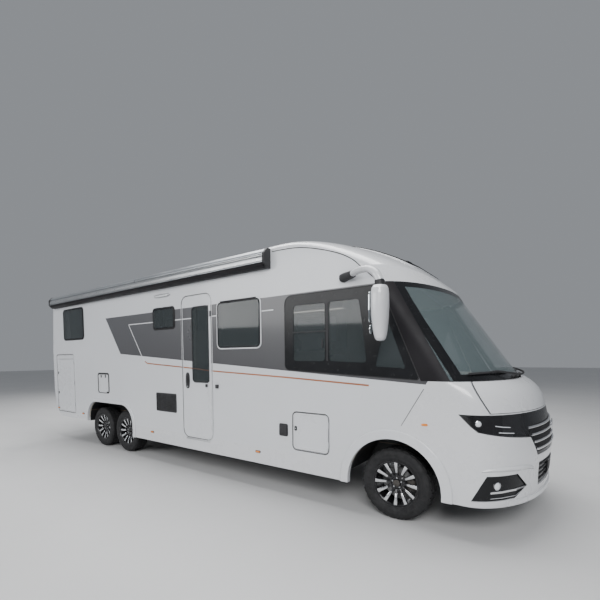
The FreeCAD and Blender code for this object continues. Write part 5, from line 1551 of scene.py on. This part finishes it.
def cushion(low, high, crown=0.02, round_edge=0.035, voxel=0.012, seams=(), cap=0.012):
    """A pad in a box, crowned on its broad faces, with sewn grooves across at given shares of its length."""
    low, high = Vector(low), Vector(high)
    bm = block(low + Vector((0.006,) * 3), high - Vector((0.006,) * 3),
               min(round_edge, (high - low).length / 9), 3)
    holder = remeshed(bm, voxel)
    inflated(holder, cap=cap)
    middle, half = (low + high) / 2, (high - low) / 2
    thin = min(range(3), key=lambda axis: half[axis])
    long_axis = max(range(3), key=lambda axis: half[axis])
    for vertex in holder.data.vertices:
        share = [(vertex.co[axis] - middle[axis]) / half[axis] for axis in range(3)]
        others = [axis for axis in range(3) if axis != thin]
        dome = (1 - min(1.0, abs(share[others[0]])) ** 2) * (1 - min(1.0, abs(share[others[1]])) ** 2)
        grow = (dome - 0.35) * crown * max(-1.0, min(1.0, share[thin]))
        vertex.co[thin] += grow
        for seam in seams:
            gap = (share[long_axis] - seam) * half[long_axis]
            dip = math.exp(-(gap / 0.008) ** 2) * 0.010
            vertex.co[thin] -= dip * max(-1.0, min(1.0, share[thin] * 1.5))
        for axis in range(3):
            vertex.co[axis] = max(low[axis], min(high[axis], vertex.co[axis]))
    bm = bmesh.new()
    bm.from_mesh(holder.data)
    mesh = holder.data
    bpy.data.objects.remove(holder)
    bpy.data.meshes.remove(mesh)
    return bm


def padded_piece(name, pads, finishes, body="body"):
    """Joins pads into one piece, subdivided once."""
    bm = bmesh.new()
    for pad in pads:
        add(bm, pad)
    made = piece(name, bm, finishes, body, crease=180)
    smooth = made.modifiers.new("smooth", "SUBSURF")
    smooth.levels = smooth.render_levels = 1
    return made


# %% [markdown]
# ## Cab seats
# Two captain's chairs stand on swivel pedestals. Each has a base cushion, a shaped back with side wings, a
# head restraint and folding armrests. Base, back and armrests are padded; the pedestal and shell are firm.

# %% Cab seats
SEAT_LOW, SEAT_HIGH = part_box("cab_seats")
print("cab seats", [round(c, 3) for c in SEAT_LOW], [round(c, 3) for c in SEAT_HIGH])
SEAT_X, SEAT_Y = -1.180, 0.560
BACK_LEAN = math.radians(14)


def leaned(bm, foot):
    """Leans a part back about a line across the seat."""
    turn = Matrix.Translation(foot) @ Matrix.Rotation(-BACK_LEAN, 4, "Y") @ Matrix.Translation(-foot)
    bmesh.ops.transform(bm, matrix=turn, verts=bm.verts)
    return bm


def seat_parts(y):
    foot = at(SEAT_X - 0.22, y, 1.09)
    base = [cushion(at(SEAT_X - 0.21, y - 0.165, 0.962), at(SEAT_X + 0.275, y + 0.165, 1.088), 0.03, 0.04,
                    seams=(-0.25, 0.3)), cushion(at(SEAT_X - 0.21, y - 0.240, 0.975),
                                                 at(SEAT_X + 0.265, y - 0.155, 1.110), 0.02, 0.035),
            cushion(at(SEAT_X - 0.21, y + 0.155, 0.975), at(SEAT_X + 0.265, y + 0.240, 1.110), 0.02, 0.035)]
    back = [cushion(at(SEAT_X - 0.285, y - 0.165, 1.085), at(SEAT_X - 0.175, y + 0.165, 1.685), 0.03, 0.04,
                    seams=(-0.45, 0.0, 0.45)),
            cushion(at(SEAT_X - 0.275, y - 0.235, 1.100), at(SEAT_X - 0.145, y - 0.155, 1.640), 0.02, 0.035),
            cushion(at(SEAT_X - 0.275, y + 0.155, 1.100), at(SEAT_X - 0.145, y + 0.235, 1.640), 0.02, 0.035),
            cushion(at(SEAT_X - 0.275, y - 0.135, 1.725), at(SEAT_X - 0.185, y + 0.135, 1.880), 0.03, 0.04)]
    return base, [leaned(pad, foot) for pad in back]


def seat_frame(y):
    foot = at(SEAT_X - 0.22, y, 1.09)
    bm = block(at(SEAT_X - 0.165, y - 0.165, 0.642), at(SEAT_X + 0.165, y + 0.165, 0.885), 0.02, 2)
    add(bm, block(at(SEAT_X - 0.19, y - 0.19, 0.885), at(SEAT_X + 0.19, y + 0.19, 0.915), 0.008), finish=0)
    add(bm, block(at(SEAT_X - 0.22, y - 0.225, 0.918), at(SEAT_X + 0.245, y + 0.225, 0.975), 0.02, 2),
        finish=1)
    shell = block(at(SEAT_X - 0.315, y - 0.210, 1.060), at(SEAT_X - 0.268, y + 0.210, 1.670), 0.020, 3)
    add(bm, leaned(shell, foot), finish=1)
    for post_y in (y - 0.06, y + 0.06):
        add(bm, leaned(tube([at(SEAT_X - 0.232, post_y, 1.64), at(SEAT_X - 0.232, post_y, 1.78)], 0.007,
                            10), foot), finish=2)
    return bm


def armrest(y, side):
    arm_y = y + side * 0.224
    return cushion(at(SEAT_X - 0.250, arm_y - 0.022, 1.290), at(SEAT_X + 0.060, arm_y + 0.022, 1.345),
                   0.008, 0.018, 0.010)


for word, side in SIDES.items():
    base, back = seat_parts(side * SEAT_Y)
    arms = [armrest(side * SEAT_Y, 1), armrest(side * SEAT_Y, -1)]
    padded_piece(f"{word}_cab_seat_cushion", base, leather)
    padded_piece(f"{word}_cab_seat_back", back + arms, pale_leather)
    seat = seat_frame(side * SEAT_Y)
    made = piece(f"{word}_cab_seat_frame", seat, [charcoal, textured_black, satin_metal])
    if side > 0:
        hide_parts("cab_seats")

# %% [markdown]
# ## Steering wheel
# The rim is a padded ring about its tilted column. Three spokes join it to a blank horn pad.

# %% Steering wheel
wheel_low, wheel_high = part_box("steering_wheel")
WHEEL_TILT = math.radians(32)
RIM_RADIUS = (wheel_high.y - wheel_low.y) / 2 - 0.017
FACE_DIRECTION = Vector((-math.cos(WHEEL_TILT), 0, math.sin(WHEEL_TILT)))
UP_FACE = Vector((math.sin(WHEEL_TILT), 0, math.cos(WHEEL_TILT)))
wheel_turn = Matrix((Vector((0, 1, 0)), FACE_DIRECTION, UP_FACE)).transposed().to_4x4()
wheel_place = Matrix.Translation(at(-0.52, 0.56, 1.33)) @ wheel_turn


def steering_wheel():
    bm = turned([(0.016 * math.sin(k * math.pi / 6), RIM_RADIUS + 0.015 * math.cos(k * math.pi / 6))
                 for k in range(12)], 64)
    for angle in (0.0, math.pi, math.pi / 2):
        spoke_bar = swept(curve_through([(0.0, -0.004, 0.030), (0.0, -0.002, 0.10), (0.0, 0.0, RIM_RADIUS)],
                                        4), oval(14), (1, 0, 0),
                          scales=[(0.050 - 0.0022 * k, 0.020) for k in range(9)])
        add(bm, spoke_bar, Matrix.Rotation(angle + math.pi / 2, 4, "Y"), 1)
    pad = turned([(-0.022, 0.0), (-0.022, 0.060), (0.0, 0.072), (0.014, 0.064), (0.020, 0.035),
                  (0.021, 0.0)], 40, closed=False)
    add(bm, pad, None, 1)
    return add(bm, turned([(-0.055, 0.0), (-0.055, 0.026), (-0.020, 0.030), (-0.020, 0.0)], 24,
                          closed=False), None, 1)


bm = steering_wheel()
bmesh.ops.transform(bm, matrix=wheel_place, verts=bm.verts)
wheel_piece = piece("steering_wheel_rim", bm, [leather, textured_black], body="steering_wheel")
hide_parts("steering_wheel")
print("steering wheel box", [round(c, 3) for c in wheel_low], [round(c, 3) for c in wheel_high])

# %% [markdown]
# ## Living space
# The furniture stands where its collision solids are. Cupboards are softened carcasses with doors a few
# millimetres
# proud, each with a slim handle. A worktop, sink, hob and tap finish the kitchen block.

# %% Cupboards
INNER = WALL_Y - 0.037
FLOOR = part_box("furniture")[0].z


def fronts(bm, x0, x1, y, z0, z1, columns, rows, side, finish=1):
    """Doors or drawers in a grid on a carcass face, each with a handle; side is where they face along Y."""
    wide, tall = (x1 - x0) / columns, (z1 - z0) / rows
    for column in range(columns):
        for row in range(rows):
            a, b = x0 + wide * column + 0.004, z0 + tall * row + 0.004
            ya, yb = sorted((y, y + side * 0.016))
            add(bm, block((a, ya, b), (a + wide - 0.008, yb, b + tall - 0.008), 0.003), finish=finish)
            grip = (a + wide / 2 - 0.004, y + side * 0.022, b + tall - 0.035)
            add(bm, block((grip[0] - 0.055, grip[1] - 0.008, grip[2] - 0.006),
                          (grip[0] + 0.055, grip[1] + 0.008, grip[2] + 0.006), 0.004), finish=3)
    return bm


KITCHEN_REAR, KITCHEN_FRONT, WORKTOP_UP = -2.440, -1.680, 0.880


def kitchen():
    low, high = at(KITCHEN_REAR, -INNER, FLOOR), at(KITCHEN_FRONT, -0.578, FLOOR + WORKTOP_UP)
    bm = block(low, high, 0.006)
    fronts(bm, low.x + 0.01, high.x - 0.01, high.y - 0.001, FLOOR + 0.09, high.z - 0.01, 2, 3, 1)
    top = block(at(KITCHEN_REAR, -INNER, high.z + 0.001), at(KITCHEN_FRONT, -0.560, high.z + 0.030), 0.006, 2)
    add(bm, top, finish=2)
    bowl = [rounded([(-0.19, -0.15), (0.19, -0.15), (0.19, 0.15), (-0.19, 0.15)], 0.05, 4)]
    centre = at(-1.90, -0.86, high.z + 0.031)
    ring = swept([centre + Vector((x, y, 0)) for x, y in bowl[0]], ring_of(0.006, 8), (0, 0, 1), closed=True)
    add(bm, ring, finish=3)
    dish = block(centre + Vector((-0.185, -0.145, -0.003)), centre + Vector((0.185, 0.145, 0.001)), 0.001)
    add(bm, dish, finish=4)
    tap = [centre + Vector(offset) for offset in ((0.0, -0.20, 0.0), (0.0, -0.20, 0.14), (0.0, -0.17, 0.20),
                                                  (0.0, -0.10, 0.215), (0.0, -0.05, 0.19))]
    add(bm, swept(curve_through(tap, 5), ring_of(0.011, 12), (1, 0, 0)), finish=3)
    for x, y, radius in ((-2.28, -0.96, 0.085), (-2.14, -0.74, 0.065)):
        burner = turned([(0.0, 0.0), (0.0, radius), (0.006, radius * 0.96), (0.004, 0.0)], 32, closed=False)
        add(bm, burner, facing(at(x, y, high.z + 0.0305), Vector((0, 0, 1))), 4)
    return bm


def tall_cupboard():
    low, high = at(-3.760, -INNER, FLOOR), at(-3.160, -0.438, 2.010)
    bm = block(low, high, 0.006)
    fronts(bm, low.x + 0.01, high.x - 0.01, high.y - 0.001, FLOOR + 0.08, 1.55, 1, 1, 1, 4)
    return fronts(bm, low.x + 0.01, high.x - 0.01, high.y - 0.001, 1.56, 2.00, 1, 1, 1)


def locker(x0, x1, side):
    """A wall cupboard above a window, with lift-up fronts and a light strip below."""
    ya, yb = sorted((side * INNER, side * 0.84))
    bm = block(at(x0, ya, 2.400), at(x1, yb, 2.700), 0.02, 3)
    fronts(bm, x0 + AXLE_X + 0.01, x1 + AXLE_X - 0.01, side * 0.841, 2.41, 2.69,
           max(1, round((x1 - x0) / 0.6)), 1, -side)
    return add(bm, block(at(x0 + 0.03, side * 0.865 - 0.012, 2.392),
                         at(x1 - 0.03, side * 0.865 + 0.012, 2.402), 0.003), finish=5)


SCREEN_REAR, SCREEN_FRONT, SCREEN_INNER_EDGE = -4.738, -4.712, 0.322


def screens():
    """The two bedroom screens, the bulkhead over the garage and the bed base."""
    bm = bmesh.new()
    for side in SIDES.values():
        ya, yb = sorted((side * SCREEN_INNER_EDGE, side * (INNER - 0.002)))
        add(bm, block(at(SCREEN_REAR, ya, 0.95), at(SCREEN_FRONT, yb, 2.780), 0.005))
        ya, yb = sorted((side * SCREEN_INNER_EDGE, side * 0.78))
        add(bm, block(at(SCREEN_REAR, ya, FLOOR), at(SCREEN_FRONT, yb, 0.95), 0.003))
        add(bm, block(at(-4.7115, side * 0.40 - 0.03, 0.70), at(-4.704, side * 0.40 + 0.03, 2.70), 0.003),
            finish=1)
    add(bm, block(at(-6.238, -INNER + 0.002, FLOOR), at(-6.212, INNER - 0.002, 1.712), 0.004))
    return add(bm, block(at(-7.330, -INNER + 0.002, 1.716), at(-5.250, INNER - 0.002, 1.744), 0.006))


furniture = kitchen()
add(furniture, tall_cupboard())
for x0, x1, side in ((-2.90, -1.60, 1), (-2.44, -1.60, -1)):
    add(furniture, locker(x0, x1, side))
add(furniture, screens())
bench = block(at(-2.900, 0.560, FLOOR), at(-1.750, INNER, FLOOR + 0.328), 0.008)
fronts(bench, -2.88 + AXLE_X, -1.77 + AXLE_X, 0.561, FLOOR + 0.06, FLOOR + 0.31, 2, 1, -1)
add(furniture, bench)
table_top = block(at(-2.480, -0.180, 1.331), at(-1.600, 0.520, 1.365), 0.0, 2)
upright = [edge for edge in table_top.edges if abs(edge.verts[0].co.z - edge.verts[1].co.z) > 0.02]
bmesh.ops.bevel(table_top, geom=upright, offset=0.09, offset_type="OFFSET", segments=6, profile=0.5,
                affect="EDGES", material=-1)
add(furniture, soften(table_top, 0.006, 2, 40), finish=2)
leg = turned([(0.0, 0.0), (0.0, 0.17), (0.010, 0.165), (0.014, 0.045), (0.64, 0.040), (0.675, 0.11),
              (0.689, 0.11), (0.689, 0.0)], 36, closed=False)
add(furniture, leg, facing(at(-2.040, 0.170, FLOOR + 0.001), Vector((0, 0, 1))), 3)
furniture_piece = piece("living_space_furniture", furniture,
                        [cabinet_white, oak, worktop, steel, screen_black, ceiling_glow])
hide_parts("furniture")

# %% [markdown]
# ## Soft furnishings
# The bench has three seat pads and three back pads. The island bed has one mattress and two pillows.
# All are inflated like the seats.

# %% Bench pads, mattress and pillows
bench_pads = [cushion(at(-2.895 + 0.385 * k, 0.562, FLOOR + 0.331),
                      at(-2.895 + 0.385 * (k + 1) - 0.006, 1.002, FLOOR + 0.450), 0.025, 0.03, 0.014)
              for k in range(3)]
bench_pads += [cushion(at(-2.895 + 0.385 * k, 1.006, FLOOR + 0.455),
                       at(-2.895 + 0.385 * (k + 1) - 0.006, INNER, FLOOR + 0.850), 0.02, 0.03, 0.014)
               for k in range(3)]
padded_piece("bench_cushions", bench_pads, pale_leather)
padded_piece("mattress", [cushion(at(-7.295, -1.095, 1.748), at(-5.305, 1.095, 1.878), 0.02, 0.05, 0.022)],
             mattress_cloth)
padded_piece("pillows", [cushion(at(-7.285, side * 0.55 - 0.32, 1.882),
                                 at(-6.880, side * 0.55 + 0.32, 1.990), 0.05, 0.045, 0.016, cap=0.02)
                         for side in SIDES.values()], pillow_cloth)

# %% [markdown]
# ## Curtains
# A curtain is one sheet gathered in waves. It starts as a wavy line of points under its rail, and the line is
# extruded downward. Its flat width is the length of the wavy line, so the cloth neither stretches nor
# shrinks.

# %% Curtains
def curtain(name, x0, x1, side, z0, z1, waves, depth=0.016):
    y = side * (INNER - 0.030)
    steps = waves * 10
    points = []
    for k in range(steps + 1):
        t = k / steps
        points.append(at(x0 + (x1 - x0) * t, y + depth * math.sin(2 * math.pi * waves * t), z1))
    bm = bmesh.new()
    verts = [bm.verts.new(point) for point in points]
    edges = [bm.edges.new(pair) for pair in zip(verts, verts[1:])]
    rows = 8
    for row in range(rows):
        made = bmesh.ops.extrude_edge_only(bm, edges=edges)["geom"]
        edges = [part for part in made if isinstance(part, bmesh.types.BMEdge)]
        edges = [edge for edge in edges if all(v in set(points_of(made)) for v in edge.verts)]
        lower = points_of(made)
        bmesh.ops.translate(bm, vec=(0, 0, -(z1 - z0) / rows), verts=lower)
    bmesh.ops.recalc_face_normals(bm, faces=bm.faces)
    made = piece(name, bm, curtain_cloth, crease=180)
    return made


for name, x0, x1, side, z0, z1 in (("dinette_curtain_rear", -2.890, -2.690, 1, 1.70, 2.36),
                                   ("dinette_curtain_front", -1.890, -1.690, 1, 1.70, 2.36),
                                   ("bedroom_curtain_left_rear", -6.86, -6.70, 1, 1.96, 2.60),
                                   ("bedroom_curtain_left_front", -6.15, -5.99, 1, 1.96, 2.60),
                                   ("bedroom_curtain_right_rear", -6.86, -6.70, -1, 1.96, 2.60),
                                   ("bedroom_curtain_right_front", -6.15, -5.99, -1, 1.96, 2.60)):
    curtain(name, x0, x1, side, z0, z1, 7)
rails = bmesh.new()
for x0, x1, side, z in ((-2.92, -1.66, 1, 2.372), (-6.88, -5.97, 1, 2.612), (-6.88, -5.97, -1, 2.612)):
    y = side * (INNER - 0.030)
    add(rails, block(at(x0, y - 0.012, z - 0.008), at(x1, y + 0.012, z + 0.008), 0.004))
    for x in (x0 + 0.02, x1 - 0.02):
        ya, yb = sorted((y, side * (INNER + 0.002)))
        add(rails, block(at(x - 0.012, ya, z - 0.008), at(x + 0.012, yb, z + 0.008), 0.003))
piece("curtain_rails", rails, satin_metal)

# %% [markdown]
# ## Dashboard details
# The dashboard is a CAD node. On it stand the instrument hood, a centre screen and round vents.

# %% Dashboard details
dash = bmesh.new()
hood = block(at(-0.345, 0.40, 1.335), at(-0.190, 0.72, 1.425), 0.03, 4)
add(dash, hood, finish=0)
add(dash, block(at(-0.3475, 0.425, 1.350), at(-0.342, 0.695, 1.412), 0.002), finish=1)
add(dash, block(at(-0.330, -0.150, 1.340), at(-0.300, 0.150, 1.500), 0.012, 3), finish=0)
add(dash, block(at(-0.333, -0.135, 1.355), at(-0.329, 0.135, 1.488), 0.001), finish=1)
for y in (-0.95, -0.30, 0.28, 0.95):
    vent = turned([(0.0, 0.0), (0.0, 0.045), (0.010, 0.043), (0.012, 0.034), (0.004, 0.030), (0.004, 0.0)],
                  32, closed=False)
    add(dash, vent, facing(at(-0.26, y, 1.345), Vector((-0.5, 0, 1)).normalized()), 2)
piece("dashboard_details", dash, [dash_vinyl, screen_black, textured_black])

# %% [markdown]
# ## Seams and seals
# The moulded cap meets the wall in a long curved seam, and the nose meets the wall in a slanted one. A
# dark seal
# fills each. The lids close on dark rubber that shows as a thin line around them.

# %% Body seams
CAP_SEAM = [(-1.450, 2.815), (-1.055, 2.792), (-0.677, 2.690), (-0.447, 2.585), (-0.284, 2.442),
            (-0.150, 2.322)]
NOSE_SEAM = [(0.296, 1.305), (0.090, 0.952)]


def seam(points, side, wide, out=0.0015):
    """A dark seal along a line, laid on whatever part of the side is there."""
    line = [(v.x, v.y) for v in curve_through([(x, z, 0) for x, z in points], 8)]
    return stripe(line, side, wide, out)


seams = bmesh.new()
for side in SIDES.values():
    add(seams, seam(CAP_SEAM, side, 0.009))
    add(seams, stripe([(-2.20, 2.812), (-1.470, 2.812)], side, 0.008, 0.0015))
    add(seams, seam(NOSE_SEAM, side, 0.005))
for body, side, (x0, x1, z0, z1), corner, locks in LIDS:
    wide = {"service_hatch": 0.0095, "cassette_hatch": 0.034}.get(body, 0.0065)
    add(seams, skin(rectangle(x0, x1, z0, z1, corner, 0.0105 + wide * 0.5), side, 0.0036, 0.001,
                    [rectangle(x0, x1, z0, z1, corner, 0.0105 - wide * 0.4)], 0.001))
x0, x1, z0, z1 = DOOR_BOX
add(seams, skin(rectangle(x0, x1, z0, z1, 0.105, 0.0125), -1, 0.0046, 0.001,
                [rectangle(x0, x1, z0, z1, 0.105, 0.0085)], 0.001))
piece("body_seals", seams, rubber)

# %% [markdown]
# ## Nose mouldings
# A lip runs along the bottom of the nose, and a ledge shades each fog lamp's recess. Both follow the
# nose's curve.

# %% Lip and ledges
mouldings = bmesh.new()
reach = 0.98
places, normals = front_line("front_mask", 0.340, 0.340, -reach, reach, 40)
add(mouldings,
    swept(places, rounded([(-0.006, -0.030), (0.010, -0.026), (0.022, -0.004), (0.022, 0.010),
                           (-0.006, 0.026)], 0.006, 3), normals))


def ledge():
    line = [near("front_mask", at(x, y, z)) for x, y, z in ((0.780, -1.180, 0.628), (0.880, -1.140, 0.640),
                                                            (0.990, -1.040, 0.642), (1.080, -0.900, 0.636),
                                                            (1.140, -0.780, 0.626), (1.170, -0.700, 0.600))]
    smooth = curve_through([spot for spot, _ in line], 5)
    hits = [near("front_mask", point + Vector((0.02, -0.01, 0))) for point in smooth]
    sizes = [(1.0 - 0.55 * abs(2 * k / (len(smooth) - 1) - 1) ** 2,) * 2 for k in range(len(smooth))]
    section = rounded([(-0.006, -0.024), (0.008, -0.022), (0.020, -0.006), (0.016, 0.006), (-0.006, 0.034)],
                      0.006, 3)
    return swept([spot for spot, _ in hits], section, [normal for _, normal in hits], scales=sizes)


add_both(mouldings, ledge)
piece("nose_mouldings", mouldings, moulded_white, crease=50)

# %% [markdown]
# ## The panoramic roof window
# A dark glass fills the cab's brow. A raised black frame holds it, with a white cover rail outside. Both
# follow the
# brow's double curve, by rays from above.

# %% Roof window frame
SKY = (-0.880, -0.060, 0.560)


def brow_ring(grow, section, finish_index, bm):
    x0, x1, half = SKY[0] - grow, SKY[1] + grow, SKY[2] + grow
    outline = rounded([(x0, -half), (x1, -half), (x1, half), (x0, half)], 0.09, 5)
    loop = []
    for (ax, ay), (bx, by) in zip(outline, outline[1:] + outline[:1]):
        count = max(1, round(math.hypot(bx - ax, by - ay) / 0.08))
        loop += [(ax + (bx - ax) * k / count, ay + (by - ay) * k / count) for k in range(count)]
    places, normals = [], []
    for x, y in loop:
        for node in ("roof_cap", "roof_windows"):
            spot, normal, _, _ = tree_of(node).ray_cast(at(x, y, 4.0), Vector((0, 0, -1)))
            if spot is not None and spot.z > 2.2:
                places.append(spot)
                normals.append(normal if normal.z > 0 else -normal)
                break
    return add(bm, swept(places, section, normals, closed=True), finish=finish_index)


sky_frame = bmesh.new()
brow_ring(0.012, bar_of(0.024, 0.052, 0.008, -0.006), 0, sky_frame)
brow_ring(0.050, bar_of(0.012, 0.030, 0.006, -0.006), 1, sky_frame)
piece("panoramic_roof_frame", sky_frame, [acrylic_black, moulded_white])

# %% [markdown]
# ## Under the floor
# Seen from low down, a vehicle is full of parts: an exhaust with its silencer, springs at the axles, and tank
# outlets. They hang in the free space under the floor, clear of the wheels.

# %% Underbody
under = bmesh.new()
pipe = [at(x, y, z) for x, y, z in ((0.35, -0.30, 0.40), (-0.20, -0.34, 0.36), (-0.90, -0.30, 0.34),
                                    (-1.70, -0.20, 0.345), (-2.40, -0.18, 0.35))]
add(under, swept(curve_through(pipe, 6), ring_of(0.027, 14), (0, 0, 1)), finish=0)
silencer = swept([at(-1.20 + x, -0.26, 0.345) for x in (-0.30, -0.285, 0.285, 0.30)], oval(24, 2.4),
                 (0, 0, 1), scales=[(0.10, 0.16), (0.15, 0.22), (0.15, 0.22), (0.10, 0.16)])
add(under, silencer, finish=0)
for axle_x in (-4.800, -5.585):
    for side in SIDES.values():
        spring = []
        for k in range(90):
            turn = 2 * math.pi * k / 14
            spring.append(at(axle_x + 0.17 + 0.042 * math.cos(turn), side * 0.62 + 0.042 * math.sin(turn),
                             0.395 + 0.0022 * k))
        add(under, swept(spring, ring_of(0.006, 8), (0, 0, 1)), finish=1)
for x in (-3.10, -2.20):
    add(under, tube([at(x, 0.30, 0.52), at(x, 0.30, 0.36)], 0.022, 14), finish=3)
    add(under, tube([at(x, 0.30, 0.40), at(x, 0.30, 0.355)], 0.028, 14), finish=2)
piece("underbody_parts", under, [galvanised, satin_metal, rubber, tank_plastic])

# %% [markdown]
# ## Sizes
# The finished model's box is printed.

# %% Print the model's box
low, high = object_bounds()
print("visual", low, high)
